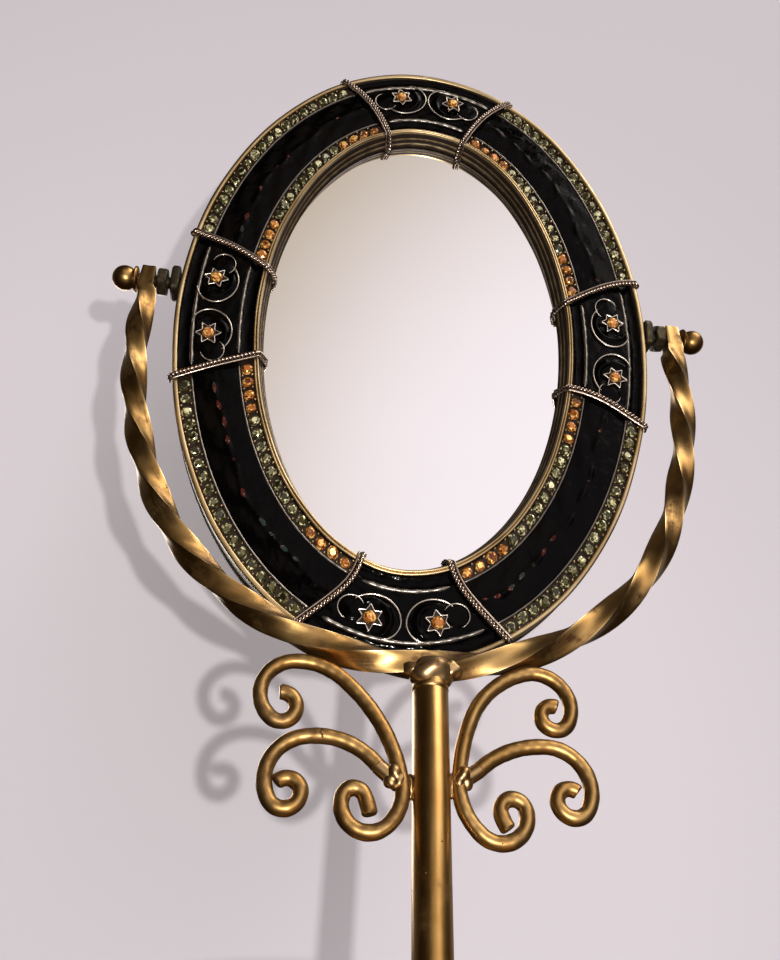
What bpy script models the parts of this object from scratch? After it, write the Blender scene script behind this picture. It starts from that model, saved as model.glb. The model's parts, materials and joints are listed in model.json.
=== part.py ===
"""Oval vanity mirror that tilts in a twisted-bar yoke on a round base.

Metres, +Z up. The origin is on the ground under the middle of the yoke and the mirror faces -Y. The mirror's
pieces hang from an empty on the pivot axis, which runs along X, and are modelled upright in that empty's space.
"""
import math

import bpy
import bmesh
from mathutils import Vector

# Clearances
GAP = 0.0003                    # between pieces that touch
RUNNING_GAP = 0.00035           # round the pivot studs

# Stand
PIVOT_HEIGHT = 0.2305
REST_TILT = math.radians(14.0)  # the mirror's top leans forward
POST_SHIFT = 0.0036             # the post is welded a little to the right of the yoke's middle
POST_RADIUS = 0.0044
YOKE_DEPTH = 0.1290             # from the pivot axis down to the middle of the yoke's lowest point
YOKE_ARCS = ((0.0778, 40.4), (0.0792, 25.3), (0.1650, 29.1))    # radius and degrees, from the bottom outwards
YOKE_BAR = 0.0057               # side of the square bar
YOKE_PITCH = 0.0240             # length of a quarter turn of twist
ARM_CENTRE = 0.0865             # from the middle to the middle of each arm at the pivot
ARM_END = 0.0050                # how far the arms rise past the pivot axis
PLAIN_END = 0.0100              # untwisted length at the top of each arm, which is drilled for the stud
SCROLL_ROD = 0.00185            # radius
SCROLL_OFFSET = POST_RADIUS + SCROLL_ROD + GAP
# Each scroll leaves its start at a heading and is a run of tangent arcs, each a (radius, degrees) pair.
SCROLLS = {
    "scroll_large_left": {
        "side": -1, "start": -0.1592, "heading": 80.1,
        "up": ((0.0412, 42.0), (0.0161, 42.5), (0.0085, 136.3), (0.0035, 99.6), (0.0038, 127.1)),
        "down": ((0.0111, 57.9), (0.0061, 151.8), (0.0026, 136.5), (0.0212, 12.3)),
    },
    "scroll_large_right": {
        "side": 1, "start": -0.1583, "heading": 87.8,
        "up": ((0.0491, 19.3), (0.0223, 49.8), (0.0086, 139.2), (0.0036, 96.1), (0.0031, 164.1)),
        "down": ((0.0149, 49.3), (0.0064, 149.0), (0.0030, 181.8), (0.0131, 15.6)),
    },
}
BRANCHES = {
    "scroll_branch_left": {
        "side": -1, "start": (0.0122, -0.1556), "heading": 50.1,
        "arcs": ((0.0178, 63.6), (0.0104, 105.5), (0.0038, 152.7), (0.0032, 138.7)),
    },
    "scroll_branch_right": {
        "side": 1, "start": (0.0112, -0.1550), "heading": 45.5,
        "arcs": ((0.0237, 44.9), (0.0099, 120.8), (0.0038, 145.3), (0.0031, 136.3)),
    },
}
WELD_WIDTH = 0.0015             # how far the weld swells past the post
POST_CORE = 0.0015              # radius of the post's hollow, above its threaded foot
THREAD_DEPTH = 0.0200
COLLAR_RADIUS = 0.0100
BASE_RADIUS = 0.0630
BASE_TOP = 0.0123
BASE_SHOULDER = 0.0080          # where the base's top starts to swell
PAD_THICKNESS = 0.0015
PAD_HOLE = 0.0120
RECESS_RADIUS = 0.0105          # the bolt's recess under the base
RECESS_TOP = 0.0050
WASHER_RADIUS = 0.0080
WASHER_THICKNESS = 0.0010
BOLT_RADIUS = 0.0025
BOLT_HEAD_RADIUS = 0.0044
BOLT_HEAD_THICKNESS = 0.0027
BOLT_REACH = 0.0180             # how far the bolt goes up into the post

# Mirror head, in the space of its pivot
HEAD_DROP = 0.0094              # the oval's middle is this far below the pivot axis
FRAME_HALF_WIDTH = 0.0760
FRAME_HALF_HEIGHT = 0.1090
RING_WIDTH_SIDE = 0.0262        # from the outer edge to the inner rim, at the sides
RING_WIDTH_TOP = 0.0275         # and at the top and bottom
FRONT = -0.0045                 # depth of the rims' front, with the pivot axis at zero
BACK = 0.0060
RIM_WIDTH = 0.0016
CHANNEL_WIDTH = 0.0040
RIDGE_WIDTH = 0.0007
CHANNEL_DEPTH = 0.0018
GLASS_FRONT = 0.0014
GLASS_THICKNESS = 0.0030
GLASS_INSET = 0.0279            # where the lip ends over the glass
FACE_DROP = 0.0006              # how far the enamel lies below the rims
FIELD_CROWN = 0.0004
STONE_ROW_RISE = 0.0004
REBATE_INSET = 0.0240           # how far the glass reaches under the lip
BOARD_THICKNESS = 0.0009
COVER_THICKNESS = 0.0014
COVER_INSET = 0.0045
COVER_CROWN = 0.0008
BAND_WIDTH = 0.0024
BAND_THICKNESS = 0.0012
STAR_RADIUS = 0.0041
STAR_INSET = 0.0109
STAR_THICKNESS = 0.0006
STONE_RADIUS = 0.0016
STONE_HEIGHT = 0.0012
# The four short panels: middle, and half spread at the outer and at the inner rim, in degrees clockwise
PANELS = (("top", 0, 23.4, 15.3), ("right", 90, 14.4, 11.4), ("bottom", 180, 23.4, 15.3), ("left", 270, 14.4, 11.4))
FIELDS = ("upper_right", "lower_right", "lower_left", "upper_left")
STAR_ANGLES = {"top": 8.2, "right": 6.1, "bottom": 8.5, "left": 6.1}

# Pivots and knobs, along X
STUD_RADIUS = 0.0020
LUG_SPAN = (0.0763, 0.0790)
NUT_SPAN = (0.0803, 0.0832)
STUD_SPAN = (0.0765, 0.0920)
KNOB_START = ARM_CENTRE + YOKE_BAR / 2 + GAP
LUG_RADIUS = 0.0048
NUT_RADIUS = 0.0042             # to its flats
COLLAR_LENGTH = 0.0011          # of the knob's small collar
BALL_CENTRE = 0.0936
BALL_RADIUS = 0.0040
NECK_TURN = 48                  # degrees from the ball's inner pole to its neck
SCREW_ANGLES = (45, 135, 225, 315)
SCREW_INSET = 0.0130
SCREW_RADIUS = 0.0013
SCREW_DEPTH = 0.0026
TAP_DEPTH = 0.0030

# Finishes: colour, roughness, metallic
BRASS = ((0.42, 0.27, 0.10), 0.35, 1.0)
GILT = ((0.50, 0.36, 0.16), 0.30, 1.0)
WIRE = ((0.30, 0.22, 0.17), 0.35, 1.0)
ENAMEL = ((0.010, 0.008, 0.010), 0.12, 0.0)
OLIVE_STONES = ((0.25, 0.22, 0.08), 0.15, 0.4)
AMBER_STONE = ((0.55, 0.26, 0.06), 0.15, 0.3)
SILVERED = ((0.80, 0.80, 0.82), 0.02, 1.0)
CARD = ((0.35, 0.27, 0.18), 0.90, 0.0)
FELT = ((0.03, 0.028, 0.027), 0.95, 0.0)
STEEL = ((0.45, 0.44, 0.42), 0.40, 1.0)
DARK_STEEL = ((0.10, 0.08, 0.05), 0.45, 1.0)
DARK_BRASS = ((0.16, 0.14, 0.06), 0.45, 1.0)


def clear_scene():
    """Removes everything that is in the scene."""
    for item in list(bpy.data.objects):
        bpy.data.objects.remove(item, do_unlink=True)


def material(name, colour, roughness, metallic):
    """A Principled material with one colour."""
    made = bpy.data.materials.new(name)
    made.use_nodes = True
    shader = made.node_tree.nodes["Principled BSDF"]
    shader.inputs["Base Color"].default_value = (*colour, 1.0)
    shader.inputs["Roughness"].default_value = roughness
    shader.inputs["Metallic"].default_value = metallic
    return made


def add_solid(name, vertices, faces, look, parent=None):
    """Makes one closed solid from vertices and faces, with its faces turned outwards and its own material."""
    shape = bmesh.new()
    corners = [shape.verts.new(v) for v in vertices]
    for face in faces:
        shape.faces.new([corners[i] for i in face])
    bmesh.ops.recalc_face_normals(shape, faces=shape.faces)
    mesh = bpy.data.meshes.new(name)
    shape.to_mesh(mesh)
    shape.free()
    mesh.shade_smooth()
    mesh.set_sharp_from_angle(angle=math.radians(35))
    mesh.materials.append(material(name, *look))
    solid = bpy.data.objects.new(name, mesh)
    bpy.context.scene.collection.objects.link(solid)
    solid.parent = parent
    return solid


def loft(rings, closed):
    """Vertices and faces of a skin over rings of equal length; open runs get a cap at each end."""
    count, size = len(rings), len(rings[0])
    vertices = [point for ring in rings for point in ring]
    spans = count if closed else count - 1
    faces = [(i * size + j, i * size + (j + 1) % size,
              (i + 1) % count * size + (j + 1) % size, (i + 1) % count * size + j)
             for i in range(spans) for j in range(size)]
    if not closed:
        faces.append(tuple(range(size)))
        faces.append(tuple(range((count - 1) * size, count * size)))
    return vertices, faces


def turned(name, profile, look, place, segments=24, parent=None):
    """A profile of (radius, length) points turned about an axis; place(radius, turn, length) gives the point.

    A profile that starts and ends on the axis is a solid, and any other is closed into a ring.
    """
    solid = profile[0][0] == 0.0
    middle = profile[1:-1] if solid else profile
    turns = [2 * math.pi * i / segments for i in range(segments)]
    rings = [[place(radius, turn, length) for radius, length in middle] for turn in turns]
    size = len(middle)
    vertices = [point for ring in rings for point in ring]
    spans = size - 1 if solid else size
    faces = [(i * size + j, i * size + (j + 1) % size,
              (i + 1) % segments * size + (j + 1) % size, (i + 1) % segments * size + j)
             for i in range(segments) for j in range(spans)]
    if solid:
        vertices += [place(0.0, 0.0, profile[0][1]), place(0.0, 0.0, profile[-1][1])]
        start, end = len(vertices) - 2, len(vertices) - 1
        for i in range(segments):
            after = (i + 1) % segments
            faces.append((start, i * size, after * size))
            faces.append((end, after * size + size - 1, i * size + size - 1))
    return add_solid(name, vertices, faces, look, parent)


def about_post(radius, turn, height):
    """A point about the post's axis."""
    return (POST_SHIFT + radius * math.cos(turn), radius * math.sin(turn), height)


def about_pivot(side):
    """Places a turned point about the pivot axis, with its length counted from the middle towards one side."""
    return lambda radius, turn, length: (side * length, radius * math.cos(turn), radius * math.sin(turn))


def washer_shape(name, outer, inner, span, look, place, segments=24, parent=None):
    """A flat ring whose outer edge is a function of the turn and whose hole is round."""
    rings = []
    for i in range(segments):
        turn = 2 * math.pi * i / segments
        edge = outer(turn)
        rings.append([place(inner, turn, span[0]), place(edge, turn, span[0]),
                      place(edge, turn, span[1]), place(inner, turn, span[1])])
    return add_solid(name, *loft(rings, closed=True), look, parent)


def cut(solid, cutters):
    """Cuts hidden tools out of a solid."""
    for cutter in cutters:
        cutter.hide_render = True
        cutter.display_type = "WIRE"
        modifier = solid.modifiers.new("cut_" + cutter.name, "BOOLEAN")
        modifier.operation = "DIFFERENCE"
        modifier.object = cutter


# Rods and scrolls, which lie in the plane of the yoke

def arc_run(start, heading, arcs, turn, step):
    """Points and headings (degrees) along a run of tangent arcs in the yoke's plane.

    turn is +1 when the run bends to its left and -1 when it bends to its right.
    """
    x, z = start
    points, headings = [(x, z)], [heading]
    for radius, sweep in arcs:
        steps = max(2, math.ceil(radius * math.radians(sweep) / step), math.ceil(sweep / 26))
        first = math.radians(heading)
        centre = (x - turn * radius * math.sin(first), z + turn * radius * math.cos(first))
        for i in range(1, steps + 1):
            angle = first + turn * math.radians(sweep) * i / steps
            reach = turn * radius
            points.append((centre[0] + reach * math.sin(angle), centre[1] - reach * math.cos(angle)))
            headings.append(math.degrees(angle))
        x, z = points[-1]
        heading += turn * sweep
    return points, headings


def section(point, heading, corners, height):
    """A bar's cross-section square to its heading; corners are (sideways, towards the back) distances."""
    across = math.radians(heading + 90)
    x, z = point
    return [(x + side * math.cos(across), depth, height + z + side * math.sin(across)) for side, depth in corners]


def round_corners(radius, sides=8):
    """A rod's cross-section."""
    return [(radius * math.cos(2 * math.pi * i / sides), radius * math.sin(2 * math.pi * i / sides))
            for i in range(sides)]


def rod(name, points, headings, radius, look):
    """A round rod along a run in the yoke's plane, cut off square at its ends."""
    rings = [section(p, h, round_corners(radius), PIVOT_HEIGHT) for p, h in zip(points, headings)]
    return add_solid(name, *loft(rings, closed=False), look)


def mirrored(points, headings, side):
    """Moves a run from the post's own middle to its place, turned over for the left side."""
    moved = [(POST_SHIFT + side * x, z) for x, z in points]
    return moved, headings if side > 0 else [180 - h for h in headings]


def make_scrolls():
    """The four scrolls: the large ones run up and down from where they meet the post."""
    for name, shape in SCROLLS.items():
        lead = math.radians(90 - shape["heading"])
        start = (SCROLL_OFFSET + shape["down"][0][0] * (1 - math.cos(lead)), shape["start"])
        up, up_headings = arc_run(start, shape["heading"], shape["up"], -1, 0.004)
        down, down_headings = arc_run(start, shape["heading"] + 180, shape["down"], 1, 0.004)
        points = down[:0:-1] + up
        headings = [h - 180 for h in down_headings[:0:-1]] + up_headings
        rod(name, *mirrored(points, headings, shape["side"]), SCROLL_ROD, BRASS)
    for name, shape in BRANCHES.items():
        points, headings = arc_run(shape["start"], shape["heading"], shape["arcs"], -1, 0.004)
        rod(name, *mirrored(points, headings, shape["side"]), SCROLL_ROD, BRASS)


def square_corners(turn):
    """The square bar's cross-section, turned about its own length."""
    half_diagonal = YOKE_BAR / math.sqrt(2)
    return [(half_diagonal * math.cos(math.radians(45 + 90 * i + turn)),
             half_diagonal * math.sin(math.radians(45 + 90 * i + turn))) for i in range(4)]


def yoke_arm():
    """Points, headings and twists along one arm, from the yoke's lowest point to its square-cut top."""
    points, headings = arc_run((0.0, -YOKE_DEPTH), 0, YOKE_ARCS, 1, 0.0060)
    plain = ARM_END - PLAIN_END
    kept = [i for i, point in enumerate(points) if point[1] < plain - 0.002]
    points = [points[i] for i in kept] + [(ARM_CENTRE, plain), (ARM_CENTRE, ARM_END)]
    headings = [headings[i] for i in kept] + [90, 90]
    lengths = [0.0]
    for before, after in zip(points, points[1:]):
        lengths.append(lengths[-1] + math.dist(before, after))
    twisted = lengths[-2]
    quarters = round(twisted / YOKE_PITCH)
    turns = [90 * quarters * min(1.0, length / twisted) for length in lengths]
    return list(zip(points, headings, turns))


def make_yoke():
    """The twisted bar, bent to a U from its lowest point up to both arm ends, which are drilled for the studs."""
    arm = yoke_arm()
    rings = [section((-x, z), -h, square_corners(-t), PIVOT_HEIGHT) for (x, z), h, t in arm[:0:-1]]
    rings += [section(p, h, square_corners(t), PIVOT_HEIGHT) for p, h, t in arm]
    yoke = add_solid("yoke_bar", *loft(rings, closed=False), BRASS)
    bore_radius = STUD_RADIUS + RUNNING_GAP
    reach = ARM_CENTRE + YOKE_BAR
    bore = turned("arm_bore", [(0.0, -reach), (bore_radius, -reach), (bore_radius, reach), (0.0, reach)],
                  BRASS, about_pivot(1), 20)
    bore.location.z = PIVOT_HEIGHT
    cut(yoke, [bore])


def make_post_and_base():
    """The post with its weld, foot ring and bolt, and the weighted base on its pad."""
    post_top = PIVOT_HEIGHT - YOKE_DEPTH - YOKE_BAR / math.sqrt(2) - GAP
    foot = BASE_TOP + GAP
    bore = BOLT_RADIUS + GAP
    turned("post", [(bore, foot), (POST_RADIUS, foot), (POST_RADIUS, post_top), (POST_CORE, post_top),
                    (POST_CORE, foot + THREAD_DEPTH), (bore, foot + THREAD_DEPTH)], BRASS, about_post)
    inner = POST_RADIUS + GAP
    turned("weld_cap", [(inner, post_top - 0.0040), (inner + WELD_WIDTH / 3, post_top - 0.0044),
                        (inner + WELD_WIDTH - 0.0001, post_top - 0.0022), (inner + WELD_WIDTH, post_top - 0.0008),
                        (inner, post_top - 0.0002)], BRASS, about_post, 16)
    turned("post_collar", [(inner, foot), (COLLAR_RADIUS, foot), (COLLAR_RADIUS, foot + 0.0025),
                           (0.0075, foot + 0.0045), (0.0070, foot + 0.0060), (inner, foot + 0.0066)],
           BRASS, about_post)
    under = PAD_THICKNESS + GAP
    rim = BASE_RADIUS
    turned("base_disc", [(bore, RECESS_TOP), (RECESS_RADIUS, RECESS_TOP), (RECESS_RADIUS, under),
                         (rim - 0.0010, under), (rim, under + 0.0010), (rim, BASE_SHOULDER - 0.0015),
                         (rim - 0.0015, BASE_SHOULDER), (0.0400, 0.0098), (0.0200, 0.0115), (0.0140, BASE_TOP),
                         (bore, BASE_TOP)], BRASS, about_post, 36)
    pad = rim - 0.0030
    turned("base_pad", [(PAD_HOLE, 0.0), (pad, 0.0), (pad, PAD_THICKNESS), (PAD_HOLE, PAD_THICKNESS)],
           FELT, about_post, 32)
    washer_top = RECESS_TOP - GAP
    washer_bottom = washer_top - WASHER_THICKNESS
    turned("base_washer", [(bore, washer_bottom), (WASHER_RADIUS, washer_bottom), (WASHER_RADIUS, washer_top),
                           (bore, washer_top)], STEEL, about_post)
    head_top = washer_bottom - GAP
    head_bottom = head_top - BOLT_HEAD_THICKNESS
    turned("base_bolt", [(0.0, head_bottom), (BOLT_HEAD_RADIUS - 0.0004, head_bottom),
                         (BOLT_HEAD_RADIUS, head_bottom + 0.0007), (BOLT_HEAD_RADIUS, head_top),
                         (BOLT_RADIUS, head_top), (BOLT_RADIUS, foot + BOLT_REACH), (0.0, foot + BOLT_REACH)],
           STEEL, about_post)


# Mirror head: every line round the frame is an oval, named by its inset from the outer edge

def half_axes(inset):
    """Half width and half height of the oval at an inset."""
    return FRAME_HALF_WIDTH - inset, FRAME_HALF_HEIGHT - inset * RING_WIDTH_TOP / RING_WIDTH_SIDE


def frame_point(angle, inset, depth):
    """A point of the frame: angle in degrees clockwise from the top, inset from the outer edge, depth backwards."""
    half_width, half_height = half_axes(inset)
    turn = math.radians(angle)
    return Vector((half_width * math.sin(turn), depth, half_height * math.cos(turn) - HEAD_DROP))


def degrees_along(length, angle, inset):
    """The angle that a length along the oval covers at a place."""
    half_width, half_height = half_axes(inset)
    turn = math.radians(angle)
    return math.degrees(length / math.hypot(half_width * math.cos(turn), half_height * math.sin(turn)))


def band_angle(panel, side, inset):
    """The middle of the wire band on one side (-1 or +1) of a panel, at an inset."""
    _, middle, outer, inner = panel
    share = min(1.0, max(0.0, inset / RING_WIDTH_SIDE))
    return middle + side * (outer + (inner - outer) * share)


def oval_ring(name, profile, look, parent, segments=56):
    """A closed profile of (inset, depth) points carried round the oval."""
    rings = [[frame_point(360 * i / segments, inset, depth) for inset, depth in profile] for i in range(segments)]
    return add_solid(name, *loft(rings, closed=True), look, parent)


def oval_plate(name, inset, front, back, look, parent, segments=40, crown=0.0):
    """A flat oval plate; a crown makes its back swell a little."""
    edges = [(inset, front), (inset, back)]
    if crown:
        edges.append((inset + 0.012, back + crown))
    rings = [[frame_point(360 * i / segments, edge, depth) for i in range(segments)] for edge, depth in edges]
    return add_solid(name, *loft(rings, closed=False), look, parent)


def frame_block(name, ends, insets, front, back, look, parent, steps, crown=0.0):
    """A slab of the frame's face between two ends, which are functions of the inset, with a crowned front."""
    across = 4 if crown else 1
    rings = []
    for i in range(steps + 1):
        share = i / steps
        front_row, back_row = [], []
        for j in range(across + 1):
            inset = insets[0] + (insets[1] - insets[0]) * j / across
            angle = ends[0](inset) + (ends[1](inset) - ends[0](inset)) * share
            bulge = crown * math.sin(math.pi * j / across)
            front_row.append(frame_point(angle, inset, front - bulge))
            back_row.append(frame_point(angle, inset, back))
        rings.append(front_row + [back_row[-1], back_row[0]])
    return add_solid(name, *loft(rings, closed=False), look, parent)


def panel_end(panel, side, clearance):
    """The end of a slab beside a panel's band, at a clearance from the band's middle (positive is outwards)."""
    def end(inset):
        angle = band_angle(panel, side, inset)
        return angle + side * degrees_along(clearance, angle, inset)
    return end


def shifted(end, degrees):
    """The same end, a whole number of turns further on."""
    return lambda inset: end(inset) + degrees


def make_frame(head):
    """The cast ring: rims at both edges, a wide channel between them, a lip over the glass and its rebate."""
    floor = FRONT + CHANNEL_DEPTH
    inner = RING_WIDTH_SIDE
    profile = [
        (0.0, BACK), (0.0, FRONT + FACE_DROP), (0.0005, FRONT), (RIM_WIDTH - 0.0004, FRONT), (RIM_WIDTH, floor),
        (inner - RIM_WIDTH, floor), (inner - RIM_WIDTH + 0.0004, FRONT), (inner - 0.0004, FRONT),
        (inner, FRONT + FACE_DROP), (GLASS_INSET, GLASS_FRONT - GAP), (REBATE_INSET, GLASS_FRONT - GAP),
        (REBATE_INSET, BACK),
    ]
    frame = oval_ring("mirror_frame", profile, GILT, head)
    cut(frame, [screw_hole("frame_tap", angle, head, BACK - TAP_DEPTH, BACK + 0.001) for angle in SCREW_ANGLES])


def about_screw(angle):
    """Places a turned point about the axis of one cover screw, with its length counted backwards."""
    centre = frame_point(angle, SCREW_INSET, 0.0)
    return lambda radius, turn, length: (centre.x + radius * math.cos(turn), length,
                                         centre.z + radius * math.sin(turn))


def screw_hole(word, angle, head, front, back):
    """A cutter for one cover screw."""
    radius = SCREW_RADIUS + GAP
    return turned(f"{word}_{angle}", [(0.0, front), (radius, front), (radius, back), (0.0, back)],
                  BRASS, about_screw(angle), 12, head)


def make_faces(head):
    """Enamel fields and panels, and the rows of stones beside the long fields."""
    floor = FRONT + CHANNEL_DEPTH - GAP
    inner = RING_WIDTH_SIDE
    channel = (RIM_WIDTH + GAP, RIM_WIDTH + CHANNEL_WIDTH)
    field = (channel[1] + RIDGE_WIDTH, inner - channel[1] - RIDGE_WIDTH)
    mirrored_channel = (inner - channel[1], inner - channel[0])
    face = FRONT + FACE_DROP
    clear = BAND_WIDTH / 2 + GAP
    for i, panel in enumerate(PANELS):
        ends = (panel_end(panel, -1, -GAP), panel_end(panel, 1, -GAP))
        frame_block("enamel_panel_" + panel[0], ends, (channel[0], inner - channel[0]), face, floor,
                    ENAMEL, head, 8)
        following = PANELS[(i + 1) % 4]
        onwards = 360 if i == 3 else 0
        word = FIELDS[i]
        ends = (panel_end(panel, 1, GAP), shifted(panel_end(following, -1, GAP), onwards))
        frame_block("enamel_field_" + word, ends, field, face, floor, ENAMEL, head, 7, FIELD_CROWN)
        ends = (panel_end(panel, 1, clear), shifted(panel_end(following, -1, clear), onwards))
        top = FRONT - STONE_ROW_RISE
        frame_block("stone_row_outer_" + word, ends, channel, top, floor, OLIVE_STONES, head, 8)
        frame_block("stone_row_inner_" + word, ends, mirrored_channel, top, floor, OLIVE_STONES, head, 8)


def make_bands(head):
    """The wire bands: bars that cross the frame's face and bend down over both rims."""
    half = BAND_THICKNESS / 2
    outside = -GAP - half
    above = FRONT - GAP - half
    inside = RING_WIDTH_SIDE + GAP + half + 0.0002
    path = [(outside, 0.0), (outside, FRONT + 0.0002), (0.0, above), (0.0060, above - 0.0002),
            (RING_WIDTH_SIDE / 2, above - 0.0004), (0.0200, above - 0.0002), (RING_WIDTH_SIDE, above),
            (inside, FRONT + 0.0002), (GLASS_INSET + 0.0008, GLASS_FRONT - 0.0012)]
    for panel in PANELS:
        for side, word in ((-1, "before"), (1, "after")):
            rings = []
            for i, (inset, depth) in enumerate(path):
                before, after = path[max(0, i - 1)], path[min(len(path) - 1, i + 1)]
                along = Vector((after[0] - before[0], after[1] - before[1])).normalized()
                normal = (along.y * half, -along.x * half)
                angle = band_angle(panel, side, inset)
                sideways = frame_point(angle + 0.5, inset, depth) - frame_point(angle - 0.5, inset, depth)
                sideways *= BAND_WIDTH / 2 / sideways.length
                low = frame_point(angle, inset - normal[0], depth - normal[1])
                high = frame_point(angle, inset + normal[0], depth + normal[1])
                rings.append([low - sideways, low + sideways, high + sideways, high - sideways])
            add_solid(f"wire_band_{panel[0]}_{word}", *loft(rings, closed=False), WIRE, head)


def make_stars(head):
    """Two six-pointed settings on each panel, each with a round stone in its middle."""
    back = FRONT + FACE_DROP - GAP
    front = back - STAR_THICKNESS
    for panel in PANELS:
        for side, word in ((-1, "before"), (1, "after")):
            angle = panel[1] + side * STAR_ANGLES[panel[0]]
            centre = frame_point(angle, STAR_INSET, 0.0)
            outline, stone = [], []
            for i in range(12):
                turn = math.radians(30 * i)
                reach = STAR_RADIUS if i % 2 == 0 else STAR_RADIUS / math.sqrt(3)
                outline.append((reach * math.sin(turn), reach * math.cos(turn)))
                stone.append((STONE_RADIUS * math.sin(turn), STONE_RADIUS * math.cos(turn)))
            layers = ((outline, back), (outline, front), (stone, front - 0.0002), (stone, front - STONE_HEIGHT / 2),
                      ([(x * 0.5, z * 0.5) for x, z in stone], front - STONE_HEIGHT))
            rings = [[(centre.x + x, depth, centre.z + z) for x, z in layer] for layer, depth in layers]
            add_solid(f"star_{panel[0]}_{word}", *loft(rings, closed=False), AMBER_STONE, head)


def make_glass_and_back(head):
    """The glass in its rebate, the board behind it and the screwed cover."""
    seat = REBATE_INSET + GAP
    glass_back = GLASS_FRONT + GLASS_THICKNESS
    oval_plate("mirror_glass", seat, GLASS_FRONT, glass_back, SILVERED, head)
    board = glass_back + GAP
    oval_plate("backing_board", seat, board, board + BOARD_THICKNESS, CARD, head)
    cover_front = BACK + GAP
    cover_back = cover_front + COVER_THICKNESS
    cover = oval_plate("back_cover", COVER_INSET, cover_front, cover_back, BRASS, head, crown=COVER_CROWN)
    cut(cover, [screw_hole("cover_hole", angle, head, BACK - 0.001, cover_back + 0.003) for angle in SCREW_ANGLES])
    tip = BACK - SCREW_DEPTH
    seat = cover_back + COVER_CROWN + GAP
    for angle, word in zip(SCREW_ANGLES, FIELDS):
        turned("cover_screw_" + word, [(0.0, tip), (SCREW_RADIUS, tip), (SCREW_RADIUS, seat), (0.0026, seat),
                                       (0.0024, seat + 0.0009), (0.0, seat + 0.0013)],
               BRASS, about_screw(angle), 12, head)


def lug_edge(turn):
    """Distance from the pivot axis to the edge of a lug, a block a little higher than wide."""
    return LUG_RADIUS / max(abs(math.cos(turn)) * 1.15, abs(math.sin(turn)))


def nut_edge(turn):
    """Distance from the pivot axis to a jam nut's edge."""
    nearest = round(turn / (math.pi / 3)) * math.pi / 3
    return NUT_RADIUS / math.cos(turn - nearest)


def knob_profile(bore):
    """A ball on a small collar, with a blind hole for the end of the stud."""
    end = STUD_SPAN[1] + GAP
    neck = KNOB_START + COLLAR_LENGTH
    profile = [(0.0, end), (bore, end), (bore, KNOB_START), (BALL_RADIUS, KNOB_START),
               (BALL_RADIUS + 0.0002, KNOB_START + 0.0004), (BALL_RADIUS, neck - 0.0002), (BALL_RADIUS * 0.75, neck)]
    first = math.radians(NECK_TURN)
    for i in range(8):
        angle = first + (math.pi - first) * i / 8
        profile.append((BALL_RADIUS * math.sin(angle), BALL_CENTRE - BALL_RADIUS * math.cos(angle)))
    return profile + [(0.0, BALL_CENTRE + BALL_RADIUS)]


def make_pivots(head):
    """On each side a lug on the frame, a stud through it, a jam nut, and the ball knob outside the yoke's arm."""
    bore = STUD_RADIUS + RUNNING_GAP
    start, end = STUD_SPAN
    for side, word in ((-1, "left"), (1, "right")):
        place = about_pivot(side)
        washer_shape("pivot_lug_" + word, lug_edge, bore, LUG_SPAN, DARK_STEEL, place, parent=head)
        turned("pivot_stud_" + word, [(0.0, start), (STUD_RADIUS, start), (STUD_RADIUS, end), (0.0, end)],
               DARK_STEEL, place, 16, head)
        washer_shape("jam_nut_" + word, nut_edge, bore, NUT_SPAN, DARK_BRASS, place, parent=head)
        turned("ball_knob_" + word, knob_profile(bore), BRASS, place, 20, head)


def make_mirror_head():
    """The tilting head on its pivot, leaned to its resting tilt."""
    head = bpy.data.objects.new("mirror_head", None)
    bpy.context.scene.collection.objects.link(head)
    head.location = (0.0, 0.0, PIVOT_HEIGHT)
    head.rotation_euler = (REST_TILT, 0.0, 0.0)
    make_frame(head)
    make_faces(head)
    make_bands(head)
    make_stars(head)
    make_glass_and_back(head)
    make_pivots(head)


def main():
    """Builds the stand and then the head."""
    clear_scene()
    make_yoke()
    make_post_and_base()
    make_scrolls()
    make_mirror_head()


main()
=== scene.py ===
"""Oval table mirror: an enamelled, stone-set frame that tilts in a twisted yoke on a scrolled post."""
import json
import math

import bmesh
import bpy
import numpy as np
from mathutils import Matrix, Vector


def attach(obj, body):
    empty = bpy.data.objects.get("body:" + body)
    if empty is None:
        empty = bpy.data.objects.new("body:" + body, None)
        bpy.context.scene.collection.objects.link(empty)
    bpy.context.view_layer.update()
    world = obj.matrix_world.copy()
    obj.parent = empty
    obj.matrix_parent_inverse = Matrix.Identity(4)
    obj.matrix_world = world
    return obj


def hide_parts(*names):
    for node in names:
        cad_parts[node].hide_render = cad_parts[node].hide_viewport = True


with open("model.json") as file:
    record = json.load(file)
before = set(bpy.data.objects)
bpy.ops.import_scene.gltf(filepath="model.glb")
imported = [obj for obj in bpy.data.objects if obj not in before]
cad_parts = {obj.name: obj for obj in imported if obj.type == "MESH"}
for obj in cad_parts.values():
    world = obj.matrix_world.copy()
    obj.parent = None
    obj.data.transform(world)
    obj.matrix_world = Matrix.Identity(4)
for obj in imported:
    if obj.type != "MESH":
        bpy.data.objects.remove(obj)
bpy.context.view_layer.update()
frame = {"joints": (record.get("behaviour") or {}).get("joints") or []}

# Measures in metres. The head's pieces are worked out upright about the pivot axis and then leaned.
PIVOT = np.array(next(j["pos_m"] for j in frame["joints"] if j["name"] == "head_tilt"), float)
REST_TILT = math.radians(14.0)
HEAD_DROP = 0.0094
HALF_WIDTH, HALF_HEIGHT = 0.0760, 0.1090
RING_WIDTH = 0.0262
RING_STRETCH = 0.0275 / 0.0262
FRONT, BACK = -0.0045, 0.0060
RIM_WIDTH = 0.0016
CHANNEL_WIDTH = 0.0040
RIDGE_WIDTH = 0.0007
CHANNEL_FLOOR = FRONT + 0.0018
OUTER_RIDGE = RIM_WIDTH + CHANNEL_WIDTH + RIDGE_WIDTH / 2
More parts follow.
